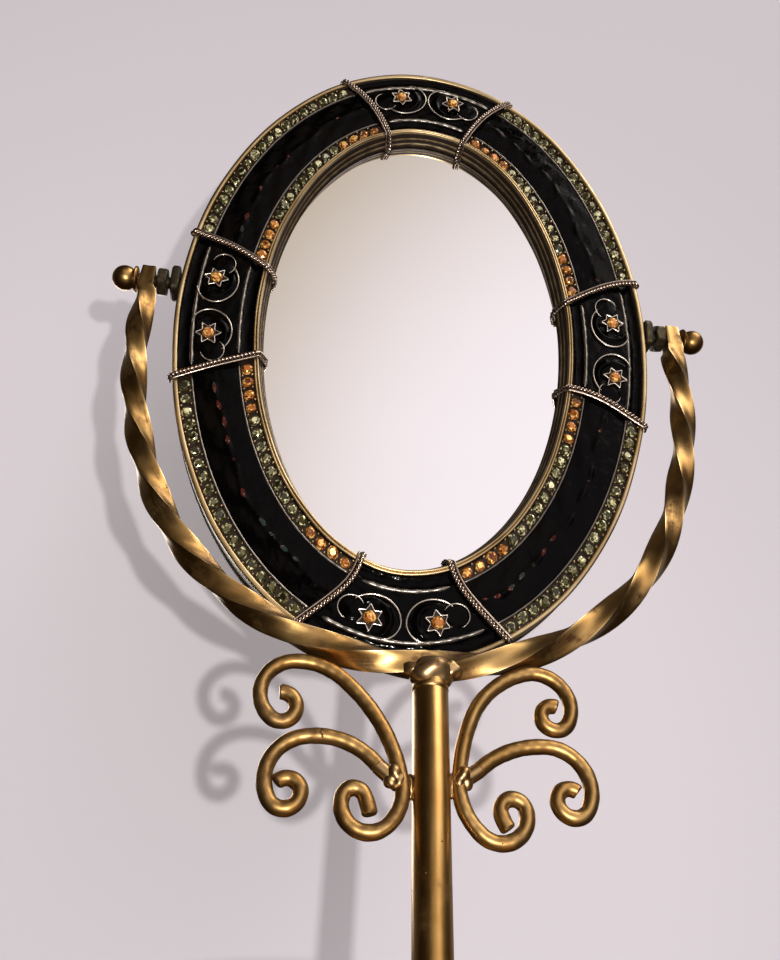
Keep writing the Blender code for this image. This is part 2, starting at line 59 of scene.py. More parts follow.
INNER_RIDGE = RING_WIDTH - OUTER_RIDGE
GLASS_FRONT, GLASS_THICKNESS = 0.0014, 0.0030
GLASS_INSET, REBATE_INSET = 0.0279, 0.0240
STAR_INSET = 0.0109
STAR_RADIUS = 0.0039
GAP = 0.0003
POST_SHIFT, POST_RADIUS = 0.0036, 0.0044
YOKE_DEPTH = 0.1290
YOKE_ARCS = ((0.0778, 40.4), (0.0792, 25.3), (0.1650, 29.1))
YOKE_BAR = 0.0057
YOKE_PITCH = 0.0240
ARM_CENTRE, ARM_END, PLAIN_END = 0.0865, 0.0050, 0.0100
SCROLL_ROD = 0.00185
SCROLL_OFFSET = POST_RADIUS + SCROLL_ROD + GAP
BASE_RADIUS, BASE_TOP = 0.063, 0.0123
LUG_SPAN, LUG_RADIUS = (0.0763, 0.0791), 0.0046
NUT_SPAN, NUT_RADIUS = (0.0803, 0.0832), 0.0042
STUD_SPAN, STUD_RADIUS = (0.0765, 0.0920), 0.0020
THREAD_PITCH, THREAD_DEPTH = 0.0007, 0.00022
KNOB_START, BALL_CENTRE, BALL_RADIUS = 0.08965, 0.0936, 0.0040
KNOB_NECK = KNOB_START + 0.0011
SCREW_ANGLES, SCREW_INSET, SCREW_RADIUS = (45, 135, 225, 315), 0.0130, 0.0013
COVER_INSET, COVER_THICKNESS = 0.0045, 0.0014

# The four short panels: middle, then half spread at the outer and the inner rim, in degrees clockwise from the top
PANELS = {"top": (0, 23.4, 15.3), "right": (90, 14.4, 11.4), "bottom": (180, 23.4, 15.3), "left": (270, 14.4, 11.4)}
FIELDS = {"upper_right": ("top", "right"), "lower_right": ("right", "bottom"),
          "lower_left": ("bottom", "left"), "upper_left": ("left", "top")}
SIDES = {"before": -1, "after": 1}
STAR_ANGLES = {"top": 8.2, "right": 6.1, "bottom": 8.5, "left": 6.1}
# How far each wire band bows out of its panel, in metres, and where between the rims it bows most
BOWS = {("left", "after"): (0.0016, 0.55), ("left", "before"): (0.0001, 0.5),
        ("right", "before"): (0.0022, 0.42), ("right", "after"): (-0.0014, 0.6),
        ("bottom", "after"): (-0.0017, 0.68), ("bottom", "before"): (-0.0011, 0.7),
        ("top", "before"): (-0.0013, 0.42), ("top", "after"): (-0.0013, 0.38)}
SCROLLS = {
    "scroll_large_left": {
        "side": -1, "start": -0.1592, "heading": 80.1,
        "up": ((0.0412, 42.0), (0.0161, 42.5), (0.0085, 136.3), (0.0035, 99.6), (0.0038, 127.1)),
        "down": ((0.0111, 57.9), (0.0061, 151.8), (0.0026, 136.5), (0.0212, 12.3)),
    },
    "scroll_large_right": {
        "side": 1, "start": -0.1583, "heading": 87.8,
        "up": ((0.0491, 19.3), (0.0223, 49.8), (0.0086, 139.2), (0.0036, 96.1), (0.0031, 164.1)),
        "down": ((0.0149, 49.3), (0.0064, 149.0), (0.0030, 181.8), (0.0131, 15.6)),
    },
}
BRANCHES = {
    "scroll_branch_left": {
        "side": -1, "start": (0.0122, -0.1556), "heading": 50.1,
        "arcs": ((0.0178, 63.6), (0.0104, 105.5), (0.0038, 152.7), (0.0032, 138.7)),
    },
    "scroll_branch_right": {
        "side": 1, "start": (0.0112, -0.1550), "heading": 45.5,
        "arcs": ((0.0237, 44.9), (0.0099, 120.8), (0.0038, 145.3), (0.0031, 136.3)),
    },
}
FORWARD = np.array([0.0, -1.0, 0.0])
RANDOM = np.random.default_rng(7)

scene = bpy.context.scene


def linked(name, data):
    """A new object in the scene."""
    made = bpy.data.objects.new(name, data)
    scene.collection.objects.link(made)
    return made


# Camera, light and surroundings

def make_camera():
    """The camera looks up at the mirror from below and a little to the left."""
    lens = bpy.data.cameras.new("camera")
    lens.lens = 37.5
    lens.sensor_fit = "VERTICAL"
    lens.sensor_height = 36.0
    lens.clip_start = 0.005
    camera = linked("camera", lens)
    camera.location = PIVOT + (-0.0344, -0.2190, -0.2470)
    camera.rotation_euler = [math.radians(a) for a in (128.51, -0.95, -7.8)]
    scene.camera = camera
    scene.view_settings.view_transform = "Standard"


make_camera()


class Socket:
    """An output of a shader node that takes part in sums: each sum adds its Math node."""

    def __init__(self, nodes, link):
        self.nodes, self.link = nodes, link

    def sum(self, operation, first, second):
        return self.nodes.add("Math", {"operation": operation}, {0: first, 1: second})

    def __add__(self, other):
        return self.sum("ADD", self, other)

    def __sub__(self, other):
        return self.sum("SUBTRACT", self, other)

    def __rsub__(self, other):
        return self.sum("SUBTRACT", other, self)

    def __mul__(self, other):
        return self.sum("MULTIPLY", self, other)

    __radd__ = __add__
    __rmul__ = __mul__


class Nodes:
    """Makes the nodes of one shader tree."""

    def __init__(self, tree):
        self.tree = tree

    def add(self, kind, settings=None, values=None, out=0):
        """A node of a type, with its settings first and then the values or links of its sockets."""
        node = self.tree.nodes.new("ShaderNode" + kind)
        for key, value in (settings or {}).items():
            setattr(node, key, value)
        self.fill(node, values or {})
        return Socket(self, node.outputs[out])

    def fill(self, node, values):
        """Gives a node's sockets their values or links; a colour may be given as three numbers."""
        for key, value in values.items():
            socket = node.inputs[key]
            if isinstance(value, Socket):
                self.tree.links.new(value.link, socket)
            elif hasattr(value, "__len__") and len(value) == 3 and len(socket.default_value) == 4:
                socket.default_value = (*value, 1.0)
            else:
                socket.default_value = value

    def place(self):
        return self.add("TexCoord", out="Object")

    def named(self, name, out="Fac"):
        """A value that the piece carries on its points or faces."""
        return self.add("Attribute", {"attribute_name": name}, out=out)

    def noise(self, place, scale, detail=3.0, rough=0.55):
        return self.add("TexNoise", {}, {"Vector": place, "Scale": scale, "Detail": detail, "Roughness": rough})

    def cells(self, place, scale):
        return self.add("TexVoronoi", {}, {"Vector": place, "Scale": scale}, out="Distance")

    def stretch(self, place, x, y, z):
        return self.add("Mapping", {}, {"Vector": place, "Scale": (x, y, z)})

    def between(self, value, low, high):
        """0 below low, 1 above high, and smooth between."""
        return self.add("MapRange", {"interpolation_type": "SMOOTHSTEP"},
                        {"Value": value, "From Min": low, "From Max": high})

    def mix(self, share, first, second):
        """A colour between two colours."""
        return self.add("Mix", {"data_type": "RGBA"}, {0: share, 6: first, 7: second}, out=2)

    def bump(self, height, distance, strength=1.0):
        return self.add("Bump", {}, {"Height": height, "Distance": distance, "Strength": strength})


def finish_of(name, build):
    """A material whose Principled shader gets the values or links that build returns for its nodes."""
    made = bpy.data.materials.new(name)
    made.use_nodes = True
    nodes = Nodes(made.node_tree)
    nodes.fill(made.node_tree.nodes["Principled BSDF"], build(nodes))
    return made


def aged_brass(gold, brown, amount, rough=0.38, brush=0.5):
    """Antique brass: satin gold with brown patina in blotches, streaks and pits, and bright on its worn edges."""
    def build(n):
        place = n.place()
        run = n.named("run", "Vector")
        worn = n.named("tone")
        blotch = n.between(n.noise(place, 120, 5, 0.62), 0.52 - amount * 0.10, 0.78)
        brushed = n.noise(n.stretch(run, 160, 1300, 1300), 1.0, 3, 0.6)
        pits = n.between(n.noise(place, 380, 4, 0.60), 0.69, 0.73)
        clean = (1 - blotch * amount) * (1 - pits * 0.85)
        clean = n.between(clean + (brushed - 0.5) * brush + worn * 0.5, 0.10, 1.0)
        dull = [c * f for c, f in zip(gold, (0.80, 0.72, 0.60))]
        tint = n.mix(n.between(n.noise(place, 70, 3), 0.35, 0.65), gold, dull)
        colour = n.mix(clean, brown, tint)
        colour = n.mix(n.between(worn, 0.5, 1.0) * 0.85, colour, (0.90, 0.70, 0.44))
        return {
            "Base Color": colour,
            "Metallic": 0.7 + 0.3 * clean,
            "Roughness": rough + 0.16 * (1 - clean) + (brushed - 0.5) * 0.10 - n.between(worn, 0.5, 1.0) * 0.12,
            "Normal": n.bump(brushed * 0.3 + n.noise(place, 500, 4, 0.6) * 0.8 - pits * 1.5, 0.00006, 0.6),
        }
    return build


def gilt(n):
    """The cast ring: cream-gold rims that are rubbed bright, and dark brown in its troughs and inner wall."""
    place = n.place()
    high = n.named("tone")
    scratch = n.noise(n.stretch(n.named("run", "Vector"), 120, 1800, 1800), 1.0, 3, 0.6)
    mottle = n.noise(place, 240, 4, 0.6)
    bright = n.between(high + (mottle - 0.5) * 0.5 + (scratch - 0.5) * 0.3, 0.35, 0.75)
    gold = n.mix(n.between(n.noise(place, 45, 2), 0.4, 0.62), (0.66, 0.50, 0.28), (0.44, 0.31, 0.15))
    return {
        "Base Color": n.mix(bright, (0.022, 0.010, 0.005), gold),
        "Metallic": 0.5 + 0.5 * bright,
        "Roughness": 0.36 + 0.16 * (1 - bright) + (mottle - 0.5) * 0.2,
        "Normal": n.bump(mottle + scratch * 0.6, 0.00010, 0.7),
    }


def enamel(flecked):
    """Black fired enamel, glossy and a little uneven, with garnet and teal flecks where the piece says so."""
    def build(n):
        place = n.place()
        swell = n.noise(place, 210, 2, 0.5)
        colour = n.mix(n.between(n.noise(place, 90, 3), 0.45, 0.75) * 0.6, (0.0012, 0.0010, 0.0010),
                       (0.0035, 0.0018, 0.0016))
        if flecked:
            teal = n.between(n.noise(place, 60, 2), 0.52, 0.56)
            ripple = n.noise(place, 1300, 3, 0.6)
            spot = n.mix(teal, (0.062, 0.012, 0.009), (0.022, 0.036, 0.036))
            spot = n.mix(n.between(ripple, 0.56, 0.70), spot, (0.30, 0.17, 0.14))
            shown = n.between(n.noise(place, 130, 2), 0.44, 0.60)
            colour = n.mix(n.between(n.named("tone") * shown + (ripple - 0.5) * 0.6, 0.35, 0.80), colour, spot)
        return {
            "Base Color": colour,
            "Roughness": 0.07 + 0.10 * n.between(n.noise(place, 1500, 2), 0.45, 0.75),
            "Specular IOR Level": 0.05,
            "Normal": n.bump(swell + n.noise(place, 900, 3, 0.6) * 0.06, 0.0007, 0.55),
        }
    return build


def worn_and_lit_metal(stain_and_shade, metal, mottle, tone_share, clean_range, metallic, rough, grain, relief):
    """Metal that is bright where it is rubbed clean and stained elsewhere.

    mottle and grain are (scale, detail, roughness) of a noise, rough is (of clean metal, added where stained) and
    relief (distance, strength). The piece's tone adds to the mottle before clean_range parts stained from clean; on
    the bands' rope strands that tone is painted highlight on their fronts and painted shade behind them.
    """
    def build(n):
        place = n.place()
        clean = n.between(n.noise(place, *mottle) + n.named("tone") * tone_share, *clean_range)
        return {
            "Base Color": n.mix(clean, stain_and_shade, metal),
            "Metallic": metallic + (1 - metallic) * clean,
            "Roughness": rough[0] + rough[1] * (1 - clean),
            "Normal": n.bump(n.noise(place, *grain), *relief),
        }
    return build


def cut_stones(n):
    """Foil-backed glass stones, amber where the piece says 1 and olive where it says 0.

    Each facet's brightness is painted reflection: most facets are painted dark as painted shade, some show the
    foil's colour, and a few are painted pale as painted glints that also glow by emission; small cells break each
    facet up.
    """
    amber = n.named("tone")
    facet = n.named("facet")
    place = n.place()
    spark = n.cells(place, 1500)
    # Painted reflection: the facet value and the cells set how bright each facet is painted, dark as painted shade
    # and pale as painted glint.
    level = facet * 0.8 + spark * 0.45
    painted_dark_facet = n.mix(amber, (0.020, 0.018, 0.008), (0.11, 0.022, 0.004))
    body = n.mix(amber, (0.100, 0.086, 0.026), (0.55, 0.18, 0.030))
    painted_glint = n.mix(amber, (0.78, 0.72, 0.42), (1.0, 0.60, 0.18))
    colour = n.mix(n.between(level, 0.30, 0.62), painted_dark_facet, body)
    colour = n.mix(n.between(level, 0.80, 1.02), colour, painted_glint)
    return {
        "Base Color": colour,
        "Metallic": 0.35,
        "Roughness": 0.10 + 0.12 * spark,
        "Coat Weight": 0.4,
        "Coat Roughness": 0.03,
        # Painted glow: the painted glint facets also give off light.
        "Emission Color": n.mix(n.between(level, 0.74, 1.05), (0.0, 0.0, 0.0), painted_glint),
        "Emission Strength": 0.28,
    }


def silvered(n):
    """Silvered glass, with the faintest haze."""
    haze = n.noise(n.place(), 30, 3)
    return {
        "Base Color": n.mix(haze, (0.90, 0.89, 0.885), (0.93, 0.92, 0.92)),
        "Metallic": 1.0,
        "Roughness": 0.012 + 0.012 * haze,
    }


def plain_finish(first, second, scale, rough, metal, relief):
    """Two shades mottled over a surface with a fine relief."""
    def build(n):
        grain = n.noise(n.place(), scale, 5, 0.65)
        return {
            "Base Color": n.mix(n.between(grain, 0.35, 0.65), first, second),
            "Metallic": metal,
            "Roughness": rough + (grain - 0.5) * 0.2,
            "Normal": n.bump(grain, relief, 0.8),
        }
    return build


BROWN = (0.060, 0.016, 0.004)
DRAWN_WIRE = ((600, 3, 0.6), 0.6, (0.62, 1.05), 0.5, (0.20, 0.22), (1500, 2, 0.55), (0.00005, 0.5))
LOOKS = {
    "yoke_brass": aged_brass((0.46, 0.290, 0.112), BROWN, 0.85, 0.34, 0.9),
    "rod_brass": aged_brass((0.46, 0.285, 0.110), BROWN, 0.70, 0.38, 0.6),
    "post_brass": aged_brass((0.50, 0.305, 0.112), BROWN, 0.50, 0.32, 0.4),
    "weld_brass": aged_brass((0.50, 0.34, 0.17), (0.070, 0.020, 0.008), 1.0, 0.34, 0.4),
    "gilt_casting": gilt,
    "field_enamel": enamel(True),
    "panel_enamel": enamel(False),
    "ridge_silver": worn_and_lit_metal((0.018, 0.012, 0.010), (0.30, 0.27, 0.24), (420, 4, 0.65), 0.35, (0.42, 0.80), 0.3,
                               (0.30, 0.22), (1100, 3, 0.55), (0.00010, 0.6)),
    # Band wire: the dark colour is stain and also painted shade behind each rope strand; the pale one is metal and
    # also painted highlight on its front.
    "band_wire": worn_and_lit_metal((0.016, 0.009, 0.006), (0.52, 0.41, 0.34), *DRAWN_WIRE),
    "star_wire": worn_and_lit_metal((0.030, 0.018, 0.012), (0.70, 0.63, 0.56), *DRAWN_WIRE),
    "cut_stones": cut_stones,
    "silvered_glass": silvered,
    "dark_iron": worn_and_lit_metal((0.022, 0.016, 0.010), (0.115, 0.090, 0.050), (500, 5, 0.65), 0.3, (0.42, 0.78), 0.4,
                            (0.38, 0.2), (800, 5, 0.7), (0.00018, 0.8)),
    "backing_card": plain_finish((0.30, 0.22, 0.13), (0.38, 0.29, 0.19), 900, 0.85, 0.0, 0.0002),
    "pad_felt": plain_finish((0.012, 0.011, 0.011), (0.030, 0.028, 0.027), 2500, 0.92, 0.0, 0.0004),
    "bolt_steel": plain_finish((0.36, 0.35, 0.33), (0.50, 0.49, 0.47), 600, 0.36, 1.0, 0.00008),
}
MATERIALS = {name: finish_of(name, build) for name, build in LOOKS.items()}


# Making meshes

def lean(points):
    """Upright head points turned about the pivot axis to the resting tilt and moved to the pivot."""
    x, y, z = np.moveaxis(np.asarray(points, float), -1, 0)
    c, s = math.cos(REST_TILT), math.sin(REST_TILT)
    return np.stack([x + PIVOT[0], y * c - z * s + PIVOT[1], y * s + z * c + PIVOT[2]], -1)


class Shape:
    """Gathers grids of points into one mesh. Each point carries a tone and a run, and each face a facet value."""

    def __init__(self):
        self.points, self.faces, self.tones, self.runs, self.facets = [], [], [], [], []
        self.count = 0

    def add(self, points, blocks, tone=0.0, run=None, facet=None):
        """Points with blocks of faces that have the same number of corners each."""
        points = np.asarray(points, float).reshape(-1, 3)
        self.points.append(points)
        self.tones.append(np.broadcast_to(np.asarray(tone, float).ravel(), (len(points),)))
        self.runs.append(points if run is None else np.asarray(run, float).reshape(-1, 3))
        for i, block in enumerate(blocks):
            self.faces.append(np.asarray(block, int) + self.count)
            self.facets.append(np.zeros(len(block)) if facet is None else facet[i])
        self.count += len(points)
        return self

    def skin(self, grid, closed=False, tone=0.0, run=None):
        """Rows of points, each row a closed loop, joined to the next row; open ends are capped."""
        rows, columns = grid.shape[:2]
        index = np.arange(rows * columns).reshape(rows, columns)
        index = np.hstack([index, index[:, :1]])
        if closed:
            index = np.vstack([index, index[:1]])
        quads = np.stack([index[:-1, :-1], index[:-1, 1:], index[1:, 1:], index[1:, :-1]], -1).reshape(-1, 4)
        blocks = [quads] if closed else [quads, index[:1, :-1], index[-1:, :-1]]
        if np.ndim(tone) == 1:
            tone = np.broadcast_to(tone, (rows, columns))
        return self.add(grid, blocks, tone, run)

    def make(self, name, body, slot, look, replaces=(), smooth=38.0):
        """One mesh object from everything gathered, with its faces outwards, riding on its body.

        Everything but the stand is leaned to the head's resting tilt.
        """
        points = np.concatenate(self.points)
        if body != "stand":
            points = lean(points)
        mesh = bpy.data.meshes.new(name)
        corners = np.concatenate([b.ravel() for b in self.faces])
        sizes = np.concatenate([np.full(len(b), b.shape[1]) for b in self.faces])
        mesh.vertices.add(len(points))
        mesh.vertices.foreach_set("co", points.astype(np.float32).ravel())
        mesh.loops.add(len(corners))
        mesh.loops.foreach_set("vertex_index", corners.astype(np.int32))
        mesh.polygons.add(len(sizes))
        mesh.polygons.foreach_set("loop_start", np.concatenate([[0], np.cumsum(sizes)[:-1]]).astype(np.int32))
        mesh.update(calc_edges=True)
        for key, kind, domain, field, values in (("tone", "FLOAT", "POINT", "value", self.tones),
                                                 ("run", "FLOAT_VECTOR", "POINT", "vector", self.runs),
                                                 ("facet", "FLOAT", "FACE", "value", self.facets)):
            data = mesh.attributes.new(key, kind, domain).data
            data.foreach_set(field, np.concatenate(values).astype(np.float32).ravel())
        shell = bmesh.new()
        shell.from_mesh(mesh)
        bmesh.ops.remove_doubles(shell, verts=shell.verts, dist=1e-7)
        bmesh.ops.recalc_face_normals(shell, faces=shell.faces)
        shell.to_mesh(mesh)
        shell.free()
        mesh.shade_smooth()
        mesh.set_sharp_from_angle(angle=math.radians(smooth))
        mesh.materials.append(MATERIALS[look])
        piece = linked(name, mesh)
        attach(piece, body)
        if replaces:
            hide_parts(*replaces)
        return piece


def unit(vectors):
    return vectors / np.maximum(np.linalg.norm(vectors, axis=-1, keepdims=True), 1e-12)


def lengths_along(path):
    """Distance from the start to each point of a path."""
    steps = np.linalg.norm(np.diff(path, axis=0), axis=1)
    return np.concatenate([[0.0], np.cumsum(steps)])


def frames_along(path, up):
    """Sideways and upward unit vectors square to a path: side = heading x up, then up = side x heading."""
    heading = unit(np.gradient(path, axis=0))
    side = unit(np.cross(heading, np.broadcast_to(up, path.shape)))
    return side, np.cross(side, heading)


def carried(path, up, profile):
    """A profile of (sideways, upwards) distances, one for all points or one for each, carried along a path."""
    side, rise = frames_along(path, up)
    profile = np.broadcast_to(profile, (len(path), *np.shape(profile)[-2:]))
    return path[:, None] + profile[..., :1] * side[:, None] + profile[..., 1:] * rise[:, None]


def circle(radius, count):
    """Points round a circle; the radius may be a column of radii, one for each place along a path."""
    turn = np.linspace(0, 2 * np.pi, count, endpoint=False)
    round_points = np.stack([np.cos(turn), np.sin(turn)], -1)
    return np.asarray(radius)[..., None, None] * round_points if np.ndim(radius) else radius * round_points


def run_of(path, count, girth):
    """Carried coordinates: length along the path, and distance round the section."""
    along = np.broadcast_to(lengths_along(path)[:, None], (len(path), count))
    around = np.broadcast_to(np.linspace(0, girth, count, endpoint=False), (len(path), count))
    return np.stack([along, around, np.zeros_like(along)], -1)


def tube(shape, path, up, radius, count=12, tone=0.0, closed=False):
    """A round wire along a path."""
    ring = carried(path, up, circle(radius, count))
    girth = 2 * np.pi * float(np.max(radius))
    return shape.skin(ring, closed, tone, run_of(path, count, girth))


def softened(profile, size, steps=3):
    """A profile with rounded corners, each a curve that starts and ends at the given distance from the corner."""
    profile = np.asarray(profile, float)
    result = [profile[0]]
    share = np.linspace(0, 1, steps + 1)[:, None]
    for before, corner, after in zip(profile[:-2], profile[1:-1], profile[2:]):
        reach_in = min(size, np.linalg.norm(before - corner) * 0.45)
        reach_out = min(size, np.linalg.norm(after - corner) * 0.45)
        start = corner + unit(before - corner) * reach_in
        end = corner + unit(after - corner) * reach_out
        result.extend((1 - share) ** 2 * start + 2 * share * (1 - share) * corner + share ** 2 * end)
    result.append(profile[-1])
    return np.array(result)


def turned(shape, profile, place, count=64, tone=0.0, bulge=None):
    """A profile of (radius, length) turned about an axis; bulge(turn, length) multiplies the radius."""
    profile = np.asarray(profile, float)
    turn = np.linspace(0, 2 * np.pi, count, endpoint=False)[None]
    radius, length = profile[:, :1], profile[:, 1:]
    radius, length = np.broadcast_arrays(radius, length + 0 * turn)
    radius = radius * (bulge(turn, length) if bulge else np.ones_like(turn))
    grid = place(radius, turn, length)
    run = np.stack([length, turn * np.abs(profile[:, :1]).max() + 0 * length, 0 * length], -1)
    if np.allclose(profile[0], profile[-1]):
        index_grid = np.transpose(grid[:-1], (1, 0, 2))
        return shape.skin(index_grid, True, tone, np.transpose(run[:-1], (1, 0, 2)))
    return shape.skin(grid, False, tone, run)


def about_post(radius, turn, height):
    return np.stack([POST_SHIFT + radius * np.cos(turn), radius * np.sin(turn), height + 0 * turn], -1)


def about_pivot(side):
    return lambda radius, turn, length: np.stack(
        [side * (length + 0 * turn), radius * np.cos(turn), radius * np.sin(turn)], -1)


# The stand

def arc_line(start, heading, arcs, bend, step):
    """Points along a run of tangent arcs, each (radius, degrees), in the yoke's plane about the pivot.

    Round each arc's middle c the point is c + bend * radius * (sin h, -cos h), with h the heading there.
    bend is +1 to the left and -1 to the right.
    """
    at = np.array(start, float)
    points, headings = [at[None]], [np.array([math.radians(heading)])]
    for radius, sweep in arcs:
        first, last = math.radians(heading), math.radians(heading + bend * sweep)
        count = max(3, math.ceil(radius * math.radians(sweep) / step))
        angles = np.linspace(first, last, count + 1)[1:]
        middle = at - bend * radius * np.array([math.sin(first), -math.cos(first)])
        points.append(middle + bend * radius * np.stack([np.sin(angles), -np.cos(angles)], -1))
        headings.append(angles)
        at = points[-1][-1]
        heading += bend * sweep
    return np.concatenate(points), np.concatenate(headings)


def in_yoke_plane(points):
    return np.stack([points[:, 0], 0 * points[:, 0], points[:, 1] + PIVOT[2]], -1)


def make_yoke():
    """The square bar twisted about its length and bent to a U; each corner is slightly rounded and rubbed bright.

    Section: a square with hollowed sides, turned by 90 degrees for every pitch along the arm, so the arms mirror
    each other. Its ends are drawn narrower and cut off square with a chamfer.
    """
    half_points, _ = arc_line((0.0, -YOKE_DEPTH), 0, YOKE_ARCS, 1, 0.0007)
    plain = ARM_END - PLAIN_END
    half_points = half_points[half_points[:, 1] < plain - 0.0020]
    top = np.stack([np.full(24, ARM_CENTRE), np.linspace(plain, ARM_END, 24)], -1)
    half_points = np.concatenate([half_points, top])
    reach = lengths_along(half_points)
    twisted = reach[-24]
    quarters = round(twisted / YOKE_PITCH)
    turn = np.radians(90 * quarters) * np.minimum(1, reach / twisted)
    path = np.concatenate([(half_points * (-1, 1))[:0:-1], half_points])
    turn = np.concatenate([-turn[:0:-1], turn])
    reach = np.concatenate([reach[:0:-1], reach])
    count = 48
    angle = np.linspace(0, 2 * np.pi, count, endpoint=False)
    folded = np.abs((angle + np.pi / 4) % (np.pi / 2) - np.pi / 4)
    flat = YOKE_BAR / 2 / np.cos(folded)
    corner = YOKE_BAR / 2 * math.sqrt(2) - 0.00016
    reach_out = np.minimum(flat, corner)
    reach_out = reach_out - 0.00008 * np.cos(2 * folded) ** 2
    near_corner = np.clip(1 - (np.pi / 4 - folded) / 0.13, 0, 1)
    section_angle = angle[None] + turn[:, None]
    profile = np.stack([np.cos(section_angle), np.sin(section_angle)], -1) * reach_out[None, :, None]
    end = reach.max()
    narrow = 1 - 0.26 * np.clip(1 - (end - reach) / 0.0130, 0, 1) ** 0.8
    chamfer = 1 - 0.35 * np.clip(1 - (end - reach) / 0.0009, 0, 1)
    profile = profile * np.stack([narrow * chamfer, chamfer], -1)[:, None]
    grid = carried(in_yoke_plane(path), (0.0, 1.0, 0.0), profile)
    tone = np.broadcast_to(near_corner, (len(path), count))
    shape = Shape().skin(grid, False, tone * 0.9, run_of(in_yoke_plane(path), count, 4 * YOKE_BAR))
    shape.make("yoke_bar_twisted", "stand", "antique_brass", "yoke_brass", ["yoke_bar"], 24)


def make_scrolls():
    """Round rods bent to scrolls in the yoke's plane, cut off square with a small chamfer."""
    def rod(name, points, side):
        path = in_yoke_plane(points * (side, 1) + (POST_SHIFT, 0))
        run = lengths_along(path)
        edge = np.minimum(run, run[-1] - run)
        radius = SCROLL_ROD * (1 - 0.16 * np.clip(1 - edge / 0.0004, 0, 1))
        radius = radius * (1 + 0.015 * np.sin(run * 900) + 0.01 * np.sin(run * 2300 + 1))
        shape = tube(Shape(), path, (0.0, 1.0, 0.0), radius, 20)
        shape.make(name + "_rod", "stand", "antique_brass", "rod_brass", [name], 30)

    for name, made in SCROLLS.items():
        lead = math.radians(90 - made["heading"])
        start = (SCROLL_OFFSET + made["down"][0][0] * (1 - math.cos(lead)), made["start"])
        up, _ = arc_line(start, made["heading"], made["up"], -1, 0.0004)
        down, _ = arc_line(start, made["heading"] + 180, made["down"], 1, 0.0004)
        rod(name, np.concatenate([down[:0:-1], up]), made["side"])
    for name, made in BRANCHES.items():
        points, _ = arc_line(made["start"], made["heading"], made["arcs"], -1, 0.0004)
        rod(name, points, made["side"])


def on_sphere(lift, turn):
    """Unit vectors at each pair of angles, lift being the angle from the z axis."""
    return np.stack([np.sin(lift) * np.cos(turn), np.sin(lift) * np.sin(turn), np.cos(lift) + 0 * turn], -1)


def blob(shape, centre, radii, seed, lumps=0.16, tone=0.0):
    """A lump of weld: an ellipsoid whose radius swells and sinks by sums of sines of its two angles."""
    lift = np.linspace(0, np.pi, 26)[:, None]
    turn = np.linspace(0, 2 * np.pi, 36, endpoint=False)[None]
    swell = 1 + lumps * (np.sin(2 * turn + seed) * np.sin(lift * 3 + seed) + 0.6 * np.sin(5 * turn + 2 * seed)
                         * np.sin(lift * 5) * 0.5 + 0.5 * np.sin(3 * turn - seed) * np.sin(lift * 2)) * np.sin(lift)
    grid = on_sphere(lift, turn) * swell[..., None] * np.asarray(radii) + np.asarray(centre)
    return shape.skin(grid, False, tone)


def make_welds():
    """The lumpy weld that joins post and yoke, and beads where the scrolls meet the post and each other.

    A short stub carries each branch on to the scroll that it springs from, and a bead covers the joint.
    """
    top = PIVOT[2] - YOKE_DEPTH
    shape = Shape()
    blob(shape, (POST_SHIFT, -0.0009, top - 0.0024), (0.0056, 0.0050, 0.0043), 1.0, 0.09)
    blob(shape, (POST_SHIFT + 0.0044, -0.0014, top - 0.0016), (0.0030, 0.0030, 0.0026), 2.3, 0.18)
    blob(shape, (POST_SHIFT - 0.0046, -0.0008, top - 0.0020), (0.0034, 0.0030, 0.0020), 3.1, 0.12)
    shape.make("yoke_weld", "stand", "antique_brass", "weld_brass", ["weld_cap"], 60)
    beads = Shape()
    for name, made in SCROLLS.items():
        x = POST_SHIFT + made["side"] * (POST_RADIUS + 0.0004)
        blob(beads, (x, 0.0004, PIVOT[2] + made["start"] - 0.0006), (0.0010, 0.0014, 0.0030),
             made["side"] * 2.0, 0.22)
    for name, made in BRANCHES.items():
        x, z = made["start"]
        heading = math.radians(made["heading"])
        share = np.linspace(-0.0002, 0.0040, 12)[:, None]
        stub = np.array([x, z]) - share * (math.cos(heading) + 0.10, math.sin(heading) - 0.15)
        path = in_yoke_plane(stub * (made["side"], 1) + (POST_SHIFT, 0))
        tube(beads, path, (0.0, 1.0, 0.0), SCROLL_ROD * 1.02, 16)
        foot = path[-1] + (made["side"] * -0.0008, -0.0004, 0.0)
        blob(beads, foot, (0.0023, 0.0022, 0.0031), made["side"] * 1.3, 0.2, 0.3)
    beads.make("scroll_welds", "stand", "antique_brass", "weld_brass", (), 60)


